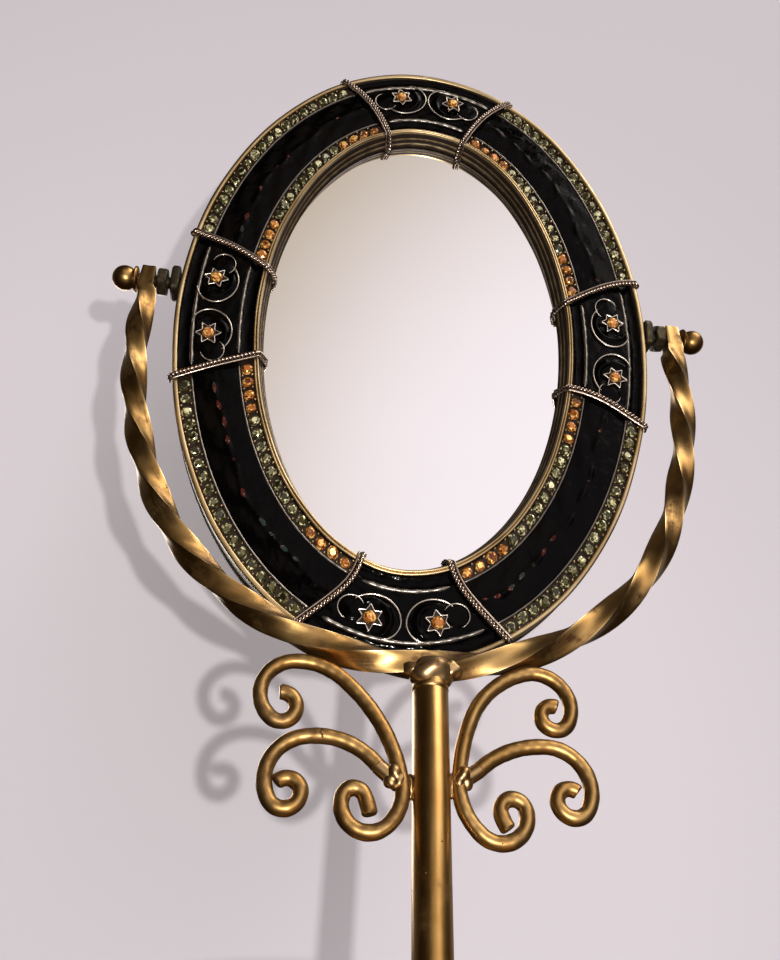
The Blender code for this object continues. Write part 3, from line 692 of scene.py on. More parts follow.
def make_post_and_base():
    """The post with its foot ring, and the base: a weighted disc with turned steps, its pad, washer and bolt."""
    top = PIVOT[2] - YOKE_DEPTH - 0.0008
    groove = top - 0.0062
    foot = BASE_TOP + GAP
    profile = [(0.0, foot), (POST_RADIUS, foot), (POST_RADIUS, groove - 0.0004),
               (POST_RADIUS - 0.00018, groove), (POST_RADIUS + 0.00012, groove + 0.0004),
               (POST_RADIUS, groove + 0.0010), (POST_RADIUS, top), (0.0, top)]
    turned(Shape(), profile, about_post, 96).make("post_bar", "stand", "antique_brass", "post_brass", ["post"], 50)
    inner = POST_RADIUS + 0.0001
    collar = [(inner, foot), (0.0100, foot), (0.0102, foot + 0.0012), (0.0098, foot + 0.0022),
              (0.0082, foot + 0.0026), (0.0076, foot + 0.0036), (0.0074, foot + 0.0050),
              (0.0066, foot + 0.0060), (0.0052, foot + 0.0066),
              (inner, foot + 0.0066), (inner, foot)]
    turned(Shape(), softened(collar, 0.0004), about_post, 72).make(
        "post_foot_ring", "stand", "antique_brass", "rod_brass", ["post_collar"], 40)
    rim = BASE_RADIUS
    disc = [(0.0026, 0.0050), (0.0105, 0.0050), (0.0105, 0.0018), (rim - 0.0012, 0.0018), (rim, 0.0030),
            (rim, 0.0062), (rim - 0.0008, 0.0074), (rim - 0.0026, 0.0080), (rim - 0.0032, 0.0076),
            (rim - 0.0062, 0.0079), (rim - 0.0070, 0.0088), (rim - 0.0086, 0.0090), (rim - 0.0094, 0.0084),
            (0.0400, 0.0096), (0.0260, 0.0106), (0.0180, 0.0117), (0.0150, 0.0121), (0.0140, BASE_TOP),
            (0.0026, BASE_TOP), (0.0026, 0.0050)]
    turned(Shape(), softened(disc, 0.0005), about_post, 128).make(
        "base_turned_disc", "stand", "antique_brass", "rod_brass", ["base_disc"], 30)
    pad = [(0.0120, 0.0), (rim - 0.003, 0.0), (rim - 0.003, 0.0015), (0.0120, 0.0015), (0.0120, 0.0)]
    turned(Shape(), softened(pad, 0.0002), about_post, 96).make(
        "base_felt_pad", "stand", "pad_felt", "pad_felt", ["base_pad"], 50)
    washer = [(0.0028, 0.0037), (0.0080, 0.0037), (0.0080, 0.0047), (0.0028, 0.0047), (0.0028, 0.0037)]
    turned(Shape(), softened(washer, 0.00015), about_post, 48).make(
        "base_round_washer", "stand", "bolt_steel", "bolt_steel", ["base_washer"], 40)
    bolt = [(0.0, 0.0007), (0.0040, 0.0007), (0.0044, 0.0014), (0.0044, 0.0034), (0.0025, 0.0034), (0.0025, 0.0306),
            (0.0, 0.0306)]
    turned(Shape(), bolt, about_post, 48, bulge=lambda turn, z: np.where(
        z < 0.0035, hexagon_reach(turn) / 1.02, 1.0)).make(
        "base_hex_bolt", "stand", "bolt_steel", "bolt_steel", ["base_bolt"], 30)


def hexagon_reach(turn):
    """How much further a hexagon's edge is than its flats, for each direction."""
    nearest = np.round(turn / (np.pi / 3)) * (np.pi / 3)
    return 1 / np.cos(turn - nearest)


# The head's oval

def oval(angle, inset, depth):
    """A point of the frame: x = (a - inset) sin t, z = (b - stretched inset) cos t below the pivot, y = depth."""
    t = np.radians(angle)
    x = (HALF_WIDTH - inset) * np.sin(t)
    z = (HALF_HEIGHT - inset * RING_STRETCH) * np.cos(t) - HEAD_DROP
    x, y, z = np.broadcast_arrays(x, depth, z)
    return np.stack([x, y, z], -1)


def speed(angle, inset):
    """Metres along the oval for each degree."""
    t = np.radians(angle)
    return np.hypot((HALF_WIDTH - inset) * np.cos(t),
                    (HALF_HEIGHT - inset * RING_STRETCH) * np.sin(t)) * np.pi / 180


def band_angle(panel, word, inset):
    """The middle of the wire band at one end of a panel: straight from rim to rim, and bowed by a skewed sine."""
    middle, outer, inner = PANELS[panel]
    side = SIDES[word]
    share = np.clip(inset / RING_WIDTH, 0, 1)
    angle = middle + side * (outer + (inner - outer) * share)
    amount, peak = BOWS[panel, word]
    skew = math.log(0.5) / math.log(peak)
    bow = amount * np.sin(np.pi * share ** skew)
    return angle + side * bow / speed(angle, inset)


def band_edge(panel, word, inset, clearance):
    """The same line moved along the oval by a clearance, outwards from the panel when positive."""
    angle = band_angle(panel, word, inset)
    return angle + SIDES[word] * clearance / speed(angle, inset)


def field_ends(word, inset, clearance):
    """Both ends of a long field at an inset, clear of its bands."""
    start, stop = FIELDS[word]
    first = band_edge(start, "after", inset, clearance)
    last = band_edge(stop, "before", inset, clearance)
    return first, last + (360 if word == "upper_left" else 0)


def panel_ends(panel, inset, clearance):
    """Both ends of a short panel at an inset, moved outwards by a clearance."""
    return band_edge(panel, "before", inset, clearance), band_edge(panel, "after", inset, clearance)


def make_casting():
    """The cast ring: a profile of (inset, depth) carried round the oval.

    A rounded outer rim, a dark trough, and an inner rim of two fine beads above a stepped wall down to the glass.
    """
    inner = RING_WIDTH
    bead = 0.00038
    turn = np.linspace(0, np.pi, 9)

    def half_round(middle, radius, foot, rise):
        """A profile across a bead: from its outer side over its top to its inner side."""
        return np.stack([middle - radius * np.cos(turn), foot - rise * np.sin(turn)], -1)

    outer_rim = half_round(RIM_WIDTH / 2, RIM_WIDTH / 2, FRONT + 0.0005, 0.0004)
    first_bead = half_round(inner - RIM_WIDTH + bead, bead, FRONT + 0.0003, 0.0003)
    second_bead = half_round(inner - bead * 1.05, bead, FRONT + 0.0002, 0.00035)
    wall = [(inner + 0.0001, FRONT + 0.0012), (inner + 0.0004, FRONT + 0.0022), (inner + 0.0006, FRONT + 0.0024),
            (inner + 0.0009, FRONT + 0.0040), (inner + 0.0012, FRONT + 0.0042), (GLASS_INSET, GLASS_FRONT - 0.0003)]
    back = [(REBATE_INSET, GLASS_FRONT - 0.0003), (REBATE_INSET, BACK), (0.0004, BACK), (0.0, BACK - 0.0004),
            (0.0, BACK - 0.0030), (0.00025, BACK - 0.0034), (0.00025, FRONT + 0.0024), (0.0, FRONT + 0.0020)]
    trough = [(RIM_WIDTH, CHANNEL_FLOOR), (inner - RIM_WIDTH, CHANNEL_FLOOR)]
    rows = [(outer_rim, 1.0), (np.array(trough), 0.0), (first_bead, 0.85), (second_bead, 1.0),
            (np.array(wall), 0.12), (np.array(back), 0.45)]
    profile = np.concatenate([points for points, _ in rows])
    tone = np.concatenate([np.full(len(points), value) for points, value in rows])
    tone[len(outer_rim) + 2] = 0.35
    wall_start = len(outer_rim) + 2 + len(first_bead) + len(second_bead)
    tone[wall_start + 2] = tone[wall_start + 4] = 0.62
    count = 360
    angle = np.arange(count)[:, None] * 360 / count
    wobble = 0.00010 * np.sin(np.radians(angle) * 7 + 1) + 0.00006 * np.sin(np.radians(angle) * 17)
    wobble = np.where(profile[None, :, 1] < FRONT + 0.001, wobble, 0)
    grid = oval(angle, profile[None, :, 0] + wobble, profile[None, :, 1])
    along = angle * 0.0016
    along, around = np.broadcast_arrays(along, lengths_along(profile)[None])
    run = np.stack([along, around, 0 * along], -1)
    Shape().skin(grid, True, tone, run).make(
        "frame_casting", "mirror_head", "gilt_frame", "gilt_casting", ["mirror_frame"], 40)


def slab(angle_ends, insets, height, floor, along_count, across_count, tone=None):
    """A closed slab of the frame's face.

    Its front is height(along, across, angle, inset), where along runs 0 to 1 between the ends and across 0 to 1
    between the insets; its back is flat at floor.
    """
    along = np.linspace(0, 1, along_count)[:, None]
    across = np.linspace(0, 1, across_count)[None]
    inset = insets[0] + (insets[1] - insets[0]) * across
    first, last = angle_ends(inset)
    angle = first + (last - first) * along
    edge = np.minimum(np.minimum(across, 1 - across) * (insets[1] - insets[0]),
                      np.minimum(along, 1 - along) * (last - first) * speed(angle, inset))
    roll = np.sqrt(np.clip(1 - (1 - np.clip(edge / 0.0004, 0, 1)) ** 2, 0, 1))
    depth = height(along, across, angle, inset)
    depth = depth + (floor - depth) * 0.5 * (1 - roll)
    front = oval(angle, inset, depth)
    behind = oval(angle[:, ::-1] + 0 * inset, inset[:, ::-1] + 0 * angle, floor)
    keep = [0, -1]
    grid = np.concatenate([front, behind[:, keep]], axis=1)
    middle = (along - 0.5) * (last - first) * speed(angle, inset)
    run = np.stack([middle, inset + 0 * middle, 0 * middle], -1)
    run = np.concatenate([run, run[:, ::-1][:, keep]], axis=1)
    values = tone(along, across, angle, inset) if tone else 0 * angle
    values = np.concatenate([values, values[:, ::-1][:, keep]], axis=1)
    return Shape().skin(grid, False, values, run)


def vine(angle, phase):
    """The wavy line along a field's middle, in metres either side of it: two sines of the angle."""
    return 0.0006 * np.sin(np.radians(angle) * 13 + phase) + 0.0003 * np.sin(np.radians(angle) * 31 + 2 * phase)


def make_fields():
    """The four long enamel fields: crowned, with a low wavy vein and a slow unevenness along them."""
    insets = (OUTER_RIDGE + 0.0002, INNER_RIDGE - 0.0002)
    for i, word in enumerate(FIELDS):
        phase = 1.7 * i

        def height(along, across, angle, inset):
            centre = (insets[0] + insets[1]) / 2
            off = inset - centre - vine(angle, phase)
            beads = 0.6 + 0.4 * np.sin(np.radians(angle) * 61 + phase)
            vein = 0.00030 * np.exp(-(off / 0.0009) ** 2) * beads
            uneven = 0.00006 * np.sin(np.radians(angle) * 33 + inset * 900 + phase)
            return FRONT + 0.0009 - 0.00045 * np.sin(np.pi * across) - vein - uneven

        def flecks(along, across, angle, inset):
            centre = (insets[0] + insets[1]) / 2
            off = inset - centre - vine(angle, phase)
            along_lens = np.cos(np.radians(angle) * 47 + phase) ** 2
            return np.clip(1.3 * along_lens - (off / 0.00075) ** 2, 0, 1)

        slab(lambda inset, word=word: field_ends(word, inset, -0.0002), insets, height, CHANNEL_FLOOR - 0.0001,
             420, 54, flecks).make("enamel_" + word, "mirror_head", "black_enamel", "field_enamel",
                                   ["enamel_field_" + word], 40)


def star_place(panel, word):
    """Where a star stands, with unit vectors towards the panel's middle and away from the glass."""
    angle = PANELS[panel][0] + SIDES[word] * STAR_ANGLES[panel]
    centre = oval(angle, STAR_INSET, 0.0)
    nearer = oval(angle - SIDES[word] * 0.5, STAR_INSET, 0.0)
    towards = unit(nearer - centre)
    outward = unit(oval(angle, STAR_INSET - 0.001, 0.0) - centre)
    outward = unit(outward - towards * np.dot(outward, towards))
    return centre, towards, outward


def big_arc(count):
    """The large curl beside a star, in (towards the middle, outwards): an arc that tightens at its outer end."""
    turn = np.radians(np.linspace(142, -62, count))
    radius = 0.0078 - 0.0016 * np.clip((np.radians(20) - turn) / np.radians(82), 0, 1) ** 2
    return np.stack([0.0010 + radius * np.cos(turn) * 1.02, 0.0002 - radius * np.sin(turn) * 0.93], -1)


def small_loop(count):
    """The small curl on a star's far side: most of a circle."""
    turn = np.radians(np.linspace(35, 255, count))
    radius = 0.0036
    return np.stack([-0.0058 + radius * np.cos(turn) * 1.05, -0.0014 - radius * np.sin(turn)], -1)


def panel_relief(panel, angle, inset):
    """How far a panel's enamel stands up: a dome in each small curl, and a crescent and a bowl about each star."""
    point = oval(angle, inset, 0.0)
    relief = np.zeros(np.broadcast(angle, inset).shape)
    for word in SIDES:
        centre, towards, outward = star_place(panel, word)
        a = (point - centre) @ towards
        b = (point - centre) @ outward
        ring = np.hypot(a - 0.0006, b)
        side = np.clip((a * 0.8 - b * 0.6 + 0.0012) / 0.004, 0, 1)
        relief += 0.00050 * np.exp(-((ring - 0.0053) / 0.0009) ** 2) * side
        dish = np.hypot(a + 0.0058, b + 0.0014) / 0.0036
        relief += 0.00038 * np.clip(1 - dish ** 2, 0, 1) ** 0.6
        bowl = np.hypot((a - 0.0010) / 1.02, (b - 0.0002) / 0.93) / 0.0078
        relief += 0.00022 * np.clip(1 - bowl ** 4, 0, 1)
    return relief


def make_panels():
    """The four short enamel panels, with a hollow channel at each rim and reliefs about the stars."""
    insets = (RIM_WIDTH + 0.0001, RING_WIDTH - RIM_WIDTH - 0.0001)
    for i, panel in enumerate(PANELS):
        def height(along, across, angle, inset, panel=panel, i=i):
            channel = np.where(inset < RING_WIDTH / 2, inset - RIM_WIDTH, RING_WIDTH - RIM_WIDTH - inset)
            hollow = np.clip(1 - ((channel - CHANNEL_WIDTH / 2) / (CHANNEL_WIDTH / 2)) ** 2, 0, 1)
            middle = np.clip((channel - CHANNEL_WIDTH - 0.0004) / 0.0012, 0, 1)
            uneven = 0.00005 * np.sin(np.radians(angle) * 57 + i) * np.sin(inset * 1500 + i)
            return (FRONT + 0.0007 + 0.00055 * hollow - middle * panel_relief(panel, angle, inset) - uneven)

        slab(lambda inset, panel=panel: panel_ends(panel, inset, -0.0001), insets, height, CHANNEL_FLOOR - 0.0001,
             190, 120).make("enamel_tablet_" + panel, "mirror_head", "black_enamel", "panel_enamel",
                            ["enamel_panel_" + panel], 40)


def ridge(shape, inset, first, last, width, rise):
    """A half-round wire laid along the oval between two angles, tapering to rounded ends."""
    count = max(24, int(abs(last - first) * 3))
    angle = np.linspace(first, last, count)
    path = oval(angle, inset, FRONT + 0.0009)
    reach = lengths_along(path)
    taper = np.clip(np.minimum(reach, reach[-1] - reach) / (width * 1.5), 0.02, 1) ** 0.5
    turn = np.linspace(0, 2 * np.pi, 12, endpoint=False)
    section = np.stack([np.cos(turn) * width / 2, np.sin(turn) * rise], -1)
    wave = 1 + 0.10 * np.sin(reach * 700) + 0.07 * np.sin(reach * 1900 + 1)
    profile = section[None] * (taper * wave)[:, None, None]
    grid = carried(path, (0.0, -1.0, 0.0), profile)
    tone = np.clip(np.sin(turn), 0, 1)
    return shape.skin(grid, False, tone, run_of(path, 12, width * 3))


def make_ridges():
    """The wires that part the channels from the middle: thin along the fields and thick on the panels."""
    for words, ends, clearance, width, rise in ((FIELDS, field_ends, 0.0014, 0.0007, 0.00042),
                                                (PANELS, panel_ends, -0.0026, 0.0013, 0.00062)):
        for word in words:
            shape = Shape()
            for inset in (OUTER_RIDGE, INNER_RIDGE):
                first, last = (float(a) for a in ends(word, inset, clearance))
                ridge(shape, inset, first, last, width, rise)
            shape.make("ridge_wires_" + word, "mirror_head", "star_setting", "ridge_silver", (), 60)


def faceted_stone(radius, rise):
    """A round cut stone: girdle, lower crown and table, eight-sided; returns points and blocks of faces."""
    sides = 8
    turn = np.arange(sides) * 2 * np.pi / sides
    half = turn + np.pi / sides
    rows = [(radius * 0.96, 0.0, turn), (radius, rise * 0.35, turn), (radius * 0.78, rise * 0.78, half),
            (radius * 0.50, rise, turn)]
    points = [np.stack([r * np.cos(t), r * np.sin(t), np.full(sides, h)], -1) for r, h, t in rows]
    index = np.arange(sides)
    following = (index + 1) % sides
    girdle = np.stack([index, following, sides + following, sides + index], -1)
    low = np.concatenate([np.stack([sides + index, sides + following, 2 * sides + index], -1),
                          np.stack([sides + following, 2 * sides + following, 2 * sides + index], -1)])
    high = np.concatenate([np.stack([2 * sides + index, 2 * sides + following, 3 * sides + following], -1),
                           np.stack([2 * sides + index, 3 * sides + following, 3 * sides + index], -1)])
    table = (3 * sides + index)[None]
    base = index[::-1][None]
    return np.concatenate(points), [girdle, np.concatenate([low, high]), table, base]


def bead_ball(radius):
    """A small ball of few faces."""
    lift = np.linspace(0.35, np.pi - 0.35, 4)[:, None]
    turn = np.linspace(0, 2 * np.pi, 6, endpoint=False)[None]
    return on_sphere(lift, turn) * radius


def set_upright(points, centre, along, inward, turn=0.0):
    """Template points (x, y, height) set on the frame's face, with height towards the front."""
    c, s = math.cos(turn), math.sin(turn)
    x, y, h = points[..., 0] * c - points[..., 1] * s, points[..., 0] * s + points[..., 1] * c, points[..., 2]
    return centre + x[..., None] * along + y[..., None] * inward + h[..., None] * FORWARD


def face_axes(angle, inset):
    """Unit vectors along the oval and towards the glass at a place on the frame's face."""
    return (unit(oval(angle + 0.5, inset, 0.0) - oval(angle - 0.5, inset, 0.0)),
            unit(oval(angle, inset + 0.001, 0.0) - oval(angle, inset, 0.0)))


def stone_angles(first, last, inset, count):
    """Angles that space a count of stones evenly by length between two ends."""
    fine = np.linspace(first, last, 400)
    reach = np.concatenate([[0], np.cumsum((speed(fine[1:], inset) + speed(fine[:-1], inset)) / 2 * np.diff(fine))])
    return np.interp((np.arange(count) + 0.5) / count * reach[-1], reach, fine)


def make_stone_rows():
    """Cut stones in the channels beside the long fields, each between four small prong beads on a dark bed."""
    stone_points, stone_faces = faceted_stone(0.00182, 0.00120)
    bed_depth = CHANNEL_FLOOR - 0.0004
    for word in FIELDS:
        for row, inset, count in (("outer", RIM_WIDTH + CHANNEL_WIDTH / 2, 19),
                                  ("inner", RING_WIDTH - RIM_WIDTH - CHANNEL_WIDTH / 2, 17)):
            first, last = (float(a) for a in field_ends(word, inset, 0.0016))
            stones, beads = Shape(), Shape()
            angles = stone_angles(first, last, inset, count)
            for i, angle in enumerate(angles):
                amber = row == "inner" and (i < 4 or i >= count - 4)
                centre = oval(angle, inset + RANDOM.normal(0, 0.00010), bed_depth + RANDOM.normal(0, 0.00005))
                size = 1 + RANDOM.normal(0, 0.05)
                tilt = RANDOM.normal(0, 0.14, 2)
                cut = stone_points * size
                cut[:, 2] += cut[:, 0] * tilt[0] + cut[:, 1] * tilt[1]
                # Random facet values: they set how bright each facet is painted, a painted reflection.
                facets = [RANDOM.uniform(0, 1, len(block)) for block in stone_faces]
                stones.add(set_upright(cut, centre, *face_axes(angle, inset), RANDOM.uniform(0, 6.28)),
                           stone_faces, 1.0 if amber else 0.0, facet=facets)
            between = np.concatenate([[2 * angles[0] - angles[1]], angles])
            for angle in (between[:-1] + between[1:]) / 2:
                angle = max(angle, first)
                for offset in (-0.0015, 0.0015):
                    centre = oval(angle, inset + offset + RANDOM.normal(0, 0.00008), bed_depth - 0.0008)
                    ball = bead_ball(0.00042 * (1 + RANDOM.normal(0, 0.12)))
                    beads.skin(set_upright(ball, centre, *face_axes(angle, inset)), False, 0.9)
            edges = (inset - CHANNEL_WIDTH / 2 + 0.0001, inset + CHANNEL_WIDTH / 2 - 0.0001)
            bed = slab(lambda i, word=word: field_ends(word, i, 0.0003), edges,
                       lambda along, across, angle, i: bed_depth - 0.0003 * np.abs(2 * across - 1) ** 3 + 0 * angle,
                       CHANNEL_FLOOR - 0.0001, 60, 10)
            beads.add(bed.points[0], bed.faces, 0.08, bed.runs[0])
            stones.make(f"stones_{row}_{word}", "mirror_head", "stones", "cut_stones",
                        [f"stone_row_{row}_{word}"], 1)
            beads.make(f"prongs_{row}_{word}", "mirror_head", "gilt_frame", "gilt_casting", (), 50)


def band_path(panel, word, shift, count=260):
    """The line of a band's wire: up the outer edge, over the rim, across the face, and down the inner wall.

    It runs through corner points of (inset, depth), rounded off, and shift moves it along the oval away from the
    panel.
    """
    above = FRONT - 0.0007
    corners = [(-0.0007, 0.0012), (-0.0007, FRONT + 0.0004), (0.0001, above), (0.0040, above - 0.0001),
               (RING_WIDTH / 2, above - 0.0003), (0.0215, above - 0.0001), (RING_WIDTH - 0.0001, above),
               (RING_WIDTH + 0.0008, FRONT + 0.0006), (GLASS_INSET + 0.0004, GLASS_FRONT - 0.0020),
               (GLASS_INSET + 0.0009, GLASS_FRONT - 0.0008)]
    line = softened(corners, 0.0009, 6)
    reach = lengths_along(line)
    even = np.linspace(0, reach[-1], count)
    inset, depth = np.interp(even, reach, line[:, 0]), np.interp(even, reach, line[:, 1])
    angle = band_edge(panel, word, inset, shift)
    return oval(angle, inset, depth)


def make_bands():
    """Each band is a rope of two twisted strands on the panel's side and one plain wire on the field's side.

    A strand is the rope's line plus a circle that turns once in every lay; its tone paints painted highlight where
    the strand comes to the front and painted shade where it goes behind.
    """
    lay, strand, spread = 0.0024, 0.00042, 0.00036
    for panel in PANELS:
        for word in SIDES:
            shape = Shape()
            rope = band_path(panel, word, -0.00045, 420)
            up = unit(oval(0.0, 0.0, -1.0) - oval(0.0, 0.0, 0.0))
            side, rise = frames_along(rope, up + 0 * rope)
            turn = lengths_along(rope)[:, None] * 2 * np.pi / lay * SIDES[word]
            for phase in (0.0, np.pi):
                radial = np.cos(turn + phase) * side + np.sin(turn + phase) * rise
                # Painted highlight and painted shade: the tone is high on the front of each strand and low behind
                # it.
                tone = np.broadcast_to(0.55 + 0.45 * np.sin(turn + phase), (len(rope), 8))
                tube(shape, rope + spread * radial, radial, strand, 8, tone)
            plain = band_path(panel, word, 0.00085, 200)
            tube(shape, plain, up, 0.00036, 10, 0.75)
            curl_turn = np.linspace(0, 2 * np.pi * 1.1, 60)[:, None]
            end = rope[-1]
            curl = end + 0.0007 * (np.cos(curl_turn) * side[-1] + np.sin(curl_turn) * FORWARD)
            tube(shape, curl, np.cross(side[-1], FORWARD), 0.00032, 8, 0.4)
            shape.make(f"wire_rope_{panel}_{word}", "mirror_head", "twisted_wire", "band_wire",
                       [f"wire_band_{panel}_{word}"], 60)


def on_face(place, line, depth):
    """A line of (towards, outward) distances about a star's place, laid at a depth."""
    centre, towards, outward = place
    return centre + line[:, :1] * towards + line[:, 1:] * outward + FORWARD * -depth


def make_stars():
    """Six-pointed settings of silver wire round a collar, each with an amber stone, and the curls beside them."""
    stone_points, stone_faces = faceted_stone(0.00196, 0.00120)
    for panel in PANELS:
        curls = Shape()
        for word in SIDES:
            place = star_place(panel, word)
            centre, towards, outward = place
            base = FRONT + 0.0001
            spin = RANDOM.normal(0, 0.12)
            points = np.arange(12)
            reach = np.where(points % 2 == 0, STAR_RADIUS, STAR_RADIUS * 0.56)
            reach = reach * (1 + RANDOM.normal(0, 0.05, 12))
            turn = points * np.pi / 6 + spin
            corners = np.stack([reach * np.sin(turn), reach * np.cos(turn)], -1)
            loop = softened(np.concatenate([corners[-1:], corners, corners[:1]]), 0.00035, 4)[1:-1]
            setting = Shape()
            tube(setting, on_face(place, loop, base - 0.00035), FORWARD, 0.00027, 8, 0.9, True)
            sheet = [on_face(place, corners * 0.93, base + depth) for depth in (0.0006, 0.0)]
            setting.skin(np.array(sheet), False, -1.0)
            tube(setting, on_face(place, circle(0.00206, 40), base - 0.0005), FORWARD, 0.00016, 8, 0.1, True)
            setting.make(f"star_wire_{panel}_{word}", "mirror_head", "star_setting", "star_wire", (), 50)
            gem = Shape()
            # Random facet values: they set how bright each facet is painted, a painted reflection.
            facets = [RANDOM.uniform(0.2, 1, len(block)) for block in stone_faces]
            gem.add(set_upright(stone_points, centre + FORWARD * -(base - 0.0002), towards, outward,
                                RANDOM.uniform(0, 6)), stone_faces, 1.0, facet=facets)
            gem.make(f"star_stone_{panel}_{word}", "mirror_head", "stones", "cut_stones",
                     [f"star_{panel}_{word}"], 1)
            for line, thick in ((big_arc(70), 0.00030), (small_loop(50), 0.00024)):
                share = np.linspace(0, 1, len(line))
                radius = thick * np.clip(np.minimum(share, 1 - share) * 12, 0.25, 1) ** 0.6
                tube(curls, on_face(place, line, FRONT + 0.00025), FORWARD, radius, 10, 0.75)
        curls.make(f"curl_wires_{panel}", "mirror_head", "star_setting", "star_wire", (), 60)


def oval_disc(inset_rows, depth_rows, count=200):
    """A closed plate: rows of ovals, each at its inset and depth, from the front's middle out and back."""
    angle = np.arange(count) * 360 / count
    return np.stack([oval(angle, inset, depth) for inset, depth in zip(inset_rows, depth_rows)])


def make_glass_and_back():
    """The glass, the board behind it, and the domed cover with a pressed border, held by four slotted screws."""
    seat = REBATE_INSET + GAP
    back = GLASS_FRONT + GLASS_THICKNESS
    grid = oval_disc([0.0440, seat + 0.0002, seat, seat, seat + 0.0002, 0.0440],
                     [GLASS_FRONT, GLASS_FRONT, GLASS_FRONT + 0.0002, back - 0.0002, back, back])
    Shape().skin(grid).make("glass_oval", "mirror_head", "silvered_glass", "silvered_glass", ["mirror_glass"], 30)
    front = back + GAP
    grid = oval_disc([0.0440, seat, seat, 0.0440], [front, front, front + 0.0009, front + 0.0009])
    Shape().skin(grid).make("card_board", "mirror_head", "backing_card", "backing_card", ["backing_board"], 30)
    face = BACK + GAP
    outer = COVER_INSET
    rows = [(0.0440, face), (outer, face), (outer - 0.0002, face + 0.0003), (outer, face + 0.0012),
            (outer + 0.0008, face + 0.0017), (outer + 0.0020, face + 0.0017), (outer + 0.0028, face + 0.0014),
            (outer + 0.0060, face + 0.0015), (outer + 0.0150, face + 0.0020), (outer + 0.0300, face + 0.0022)]
    grid = oval_disc(*zip(*rows))
    Shape().skin(grid).make("cover_pressed", "mirror_head", "antique_brass", "rod_brass", ["back_cover"], 30)
    seat_depth = face + COVER_THICKNESS + 0.0008 + GAP
    tip = BACK - 0.0026
    for angle, word in zip(SCREW_ANGLES, FIELDS):
        centre = oval(angle, SCREW_INSET, 0.0)
        rows = [(0.0, tip), (SCREW_RADIUS, tip), (SCREW_RADIUS, seat_depth), (0.0026, seat_depth),
                (0.0026, seat_depth + 0.0004), (0.0023, seat_depth + 0.0009), (0.0015, seat_depth + 0.0012),
                (0.0, seat_depth + 0.0013)]
        rows = softened(rows, 0.0002)

        def place(radius, turn, length, centre=centre):
            x, z = radius * np.cos(turn), radius * np.sin(turn)
            slot = (np.abs(z) < 0.00032) & (length > seat_depth + 0.0006)
            return np.stack([centre[0] + x, np.where(slot, length - 0.0005, length), centre[2] + z], -1)

        turned(Shape(), rows, place, 48).make("cover_slotted_screw_" + word, "mirror_head", "screw_brass",
                                              "rod_brass", ["cover_screw_" + word], 30)


def stacked(shape, place, turn, rows, tone):
    """A ring of sections along the pivot axis: rows of (radii for each turn, length), closed round to the first."""
    loops = [place(radii + 0 * turn, turn, np.full(len(turn), length)) for radii, length in rows]
    return shape.skin(np.transpose(np.array(loops), (1, 0, 2)), True, tone)


def make_pivots():
    """On each side a cast lug, a threaded stud through it, a jam nut, and the ball knob outside the yoke.

    The lug is a rounded square, 1 / (|cos|^6 + |sin|^6)^(1/6), and the stud's thread is a triangle wave of the
    length less a share of the turn.
    """
    turn = np.linspace(0, 2 * np.pi, 72, endpoint=False)
    square = LUG_RADIUS / (np.abs(np.cos(turn)) ** 6 + np.abs(np.sin(turn)) ** 6) ** (1 / 6)
    start, end = LUG_SPAN
    lug = [(0.0023, start), (0.92 * square, start), (square, start + 0.0004), (square, end - 0.0008),
           (0.90 * square, end - 0.0002), (0.72 * square, end), (0.0023, end)]
    start, end = NUT_SPAN
    hexagon = NUT_RADIUS * hexagon_reach(turn)
    face, flank = np.minimum(hexagon, 0.00415), np.minimum(hexagon, 0.00475)
    nut = [(0.0024, start), (face, start), (flank, start + 0.0004), (flank, end - 0.0004), (face, end),
           (0.0024, end)]
    length = np.linspace(*STUD_SPAN, 220)[:, None]
    angle = np.linspace(0, 2 * np.pi, 24, endpoint=False)[None]
    thread = np.abs((length / THREAD_PITCH - angle / (2 * np.pi)) % 1 - 0.5) * 2
    arc = np.linspace(math.radians(48), np.pi, 22)
    ball = np.stack([BALL_RADIUS * np.sin(arc), BALL_CENTRE - BALL_RADIUS * np.cos(arc)], -1)
    ball[-1, 0] = 0.0
    foot = np.array([(0.0, KNOB_START), (0.0038, KNOB_START), (0.0041, KNOB_START + 0.0002),
                     (0.0042, KNOB_START + 0.0005), (0.0040, KNOB_NECK - 0.0002), (0.0031, KNOB_NECK)])
    for side, word in ((-1, "left"), (1, "right")):
        place = about_pivot(side)
        stacked(Shape(), place, turn, lug, 0.3).make(
            "lug_cast_" + word, "mirror_head", "dark_iron", "dark_iron", ["pivot_lug_" + word], 40)
        Shape().skin(place(STUD_RADIUS - THREAD_DEPTH * (1 - thread), angle, length + 0 * angle), False, 0.2).make(
            "stud_threaded_" + word, "mirror_head", "dark_iron", "dark_iron", ["pivot_stud_" + word], 60)
        stacked(Shape(), place, turn, nut, 0.4).make(
            "nut_hex_" + word, "mirror_head", "dark_iron", "dark_iron", ["jam_nut_" + word], 20)
        turned(Shape(), np.concatenate([foot, ball]), place, 64).make(
            "knob_ball_" + word, "knob_" + word, "antique_brass", "post_brass", ["ball_knob_" + word], 40)


make_yoke()
make_scrolls()
make_welds()
make_post_and_base()
make_casting()
make_fields()
make_panels()
make_ridges()
make_stone_rows()
make_bands()
make_stars()
make_glass_and_back()
make_pivots()


# Studio

def one_sided(name, shade, lift):
    """Pale paint that is only there on its front, so that the object is seen through its back."""
    made = bpy.data.materials.new(name)
    made.use_nodes = True
    n = Nodes(made.node_tree)
    shader = made.node_tree.nodes["Principled BSDF"]
    n.fill(shader, {"Base Color": shade, "Roughness": 0.75, "Specular IOR Level": 0.1,
                    "Emission Color": shade, "Emission Strength": lift})
    clear = n.add("BsdfTransparent")
    behind = n.add("NewGeometry", out="Backfacing")
    both = n.add("MixShader", {}, {0: behind, 1: Socket(n, shader.outputs[0]), 2: clear})
    made.node_tree.links.new(both.link, made.node_tree.nodes["Material Output"].inputs[0])
    return made


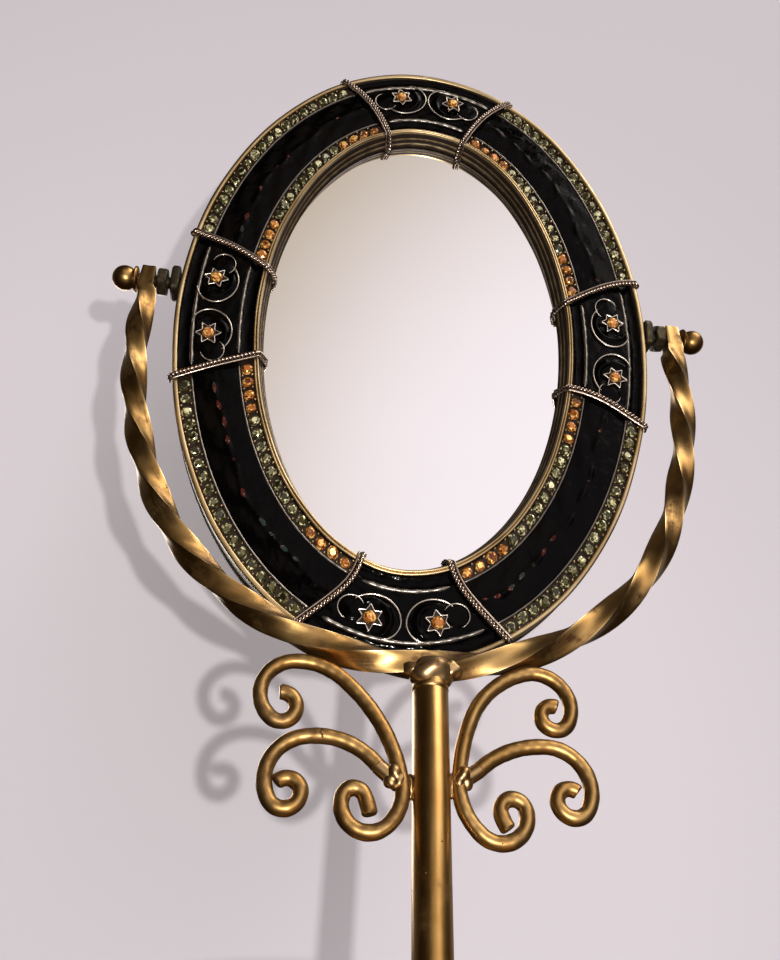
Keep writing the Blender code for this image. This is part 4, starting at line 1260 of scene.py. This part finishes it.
def make_stage(name, corners, look):
    """A flat sheet that catches shadows but neither throws any nor shows in the metal."""
    mesh = bpy.data.meshes.new(name)
    mesh.from_pydata(corners, [], [(0, 1, 2, 3)])
    mesh.materials.append(look)
    sheet = linked(name, mesh)
    for kind in ("shadow", "diffuse", "glossy", "transmission"):
        setattr(sheet, "visible_" + kind, False)


def wall_depth(x, z):
    """How far back the wall stands: it leans forward a little and is nearer on the left."""
    return 0.172 + 0.08 * x - 0.20 * z


def make_lamp(name, at, size, power, colour):
    """A square area light that shines at the pivot."""
    lamp = bpy.data.lights.new(name, "AREA")
    lamp.size = size
    lamp.energy = power
    lamp.color = colour
    holder = linked(name, lamp)
    holder.location = at
    holder.rotation_euler = (Vector(at) - Vector(PIVOT)).to_track_quat("Z", "Y").to_euler()


def make_world():
    """Room light: a dim warm room with pale patches in front and a bright one high on the right."""
    world = bpy.data.worlds.new("room")
    scene.world = world
    world.use_nodes = True
    n = Nodes(world.node_tree)
    toward = n.add("TexCoord", out="Generated")

    def patch(direction, inner, outer):
        """1 within the inner angle of a direction and 0 beyond the outer one, in degrees."""
        direction = unit(np.array(direction, float))
        share = n.add("VectorMath", {"operation": "DOT_PRODUCT"}, {0: toward, 1: tuple(direction)}, out="Value")
        return n.between(share, math.cos(math.radians(outer)), math.cos(math.radians(inner)))

    room = (0.012, 0.006, 0.003)
    for direction, inner, outer, colour in (
            ((0.09, -0.94, 0.31), 13, 25, (0.53, 0.44, 0.33)), ((0.36, -0.93, 0.14), 8, 31, (1.03, 0.95, 0.99)),
            ((0.44, -0.79, 0.42), 3, 14, (2.4, 2.2, 2.0)), ((0.12, -0.80, -0.58), 6, 30, (1.05, 0.95, 0.86)),
            ((0.53, -0.44, 0.72), 6, 20, (4.0, 3.6, 3.1)), ((-0.70, 0.50, 0.50), 10, 40, (0.10, 0.09, 0.08)),
            ((0.60, 0.62, 0.50), 10, 40, (0.30, 0.28, 0.26))):
        room = n.mix(patch(direction, inner, outer), room, colour)
    seen = n.add("LightPath", out="Is Camera Ray")
    colour = n.mix(seen, room, (0.64, 0.59, 0.64))
    n.fill(world.node_tree.nodes["Background"], {"Color": colour, "Strength": 1.0})


PALE = (0.66, 0.625, 0.68)
make_stage("floor", [(-3, -3, 0), (3, -3, 0), (3, 3, 0), (-3, 3, 0)], one_sided("floor_paint", PALE, 0.29))
make_stage("backdrop", [(x, wall_depth(x, z), z) for x, z in ((-1.5, 0), (1.5, 0), (1.5, 1.5), (-1.5, 1.5))],
           one_sided("backdrop_paint", PALE, 0.29))
make_world()
make_lamp("key", scene.camera.location + Vector((0.054, -0.117, -0.051)), 0.008, 1.15, (1.0, 0.98, 0.93))
make_lamp("overhead", PIVOT + (0.6, -0.7, 1.0), 0.6, 2.5, (1.0, 0.98, 0.96))
make_lamp("rear", PIVOT + (-0.5, 1.3, 0.7), 0.8, 9.0, (1.0, 0.97, 0.93))
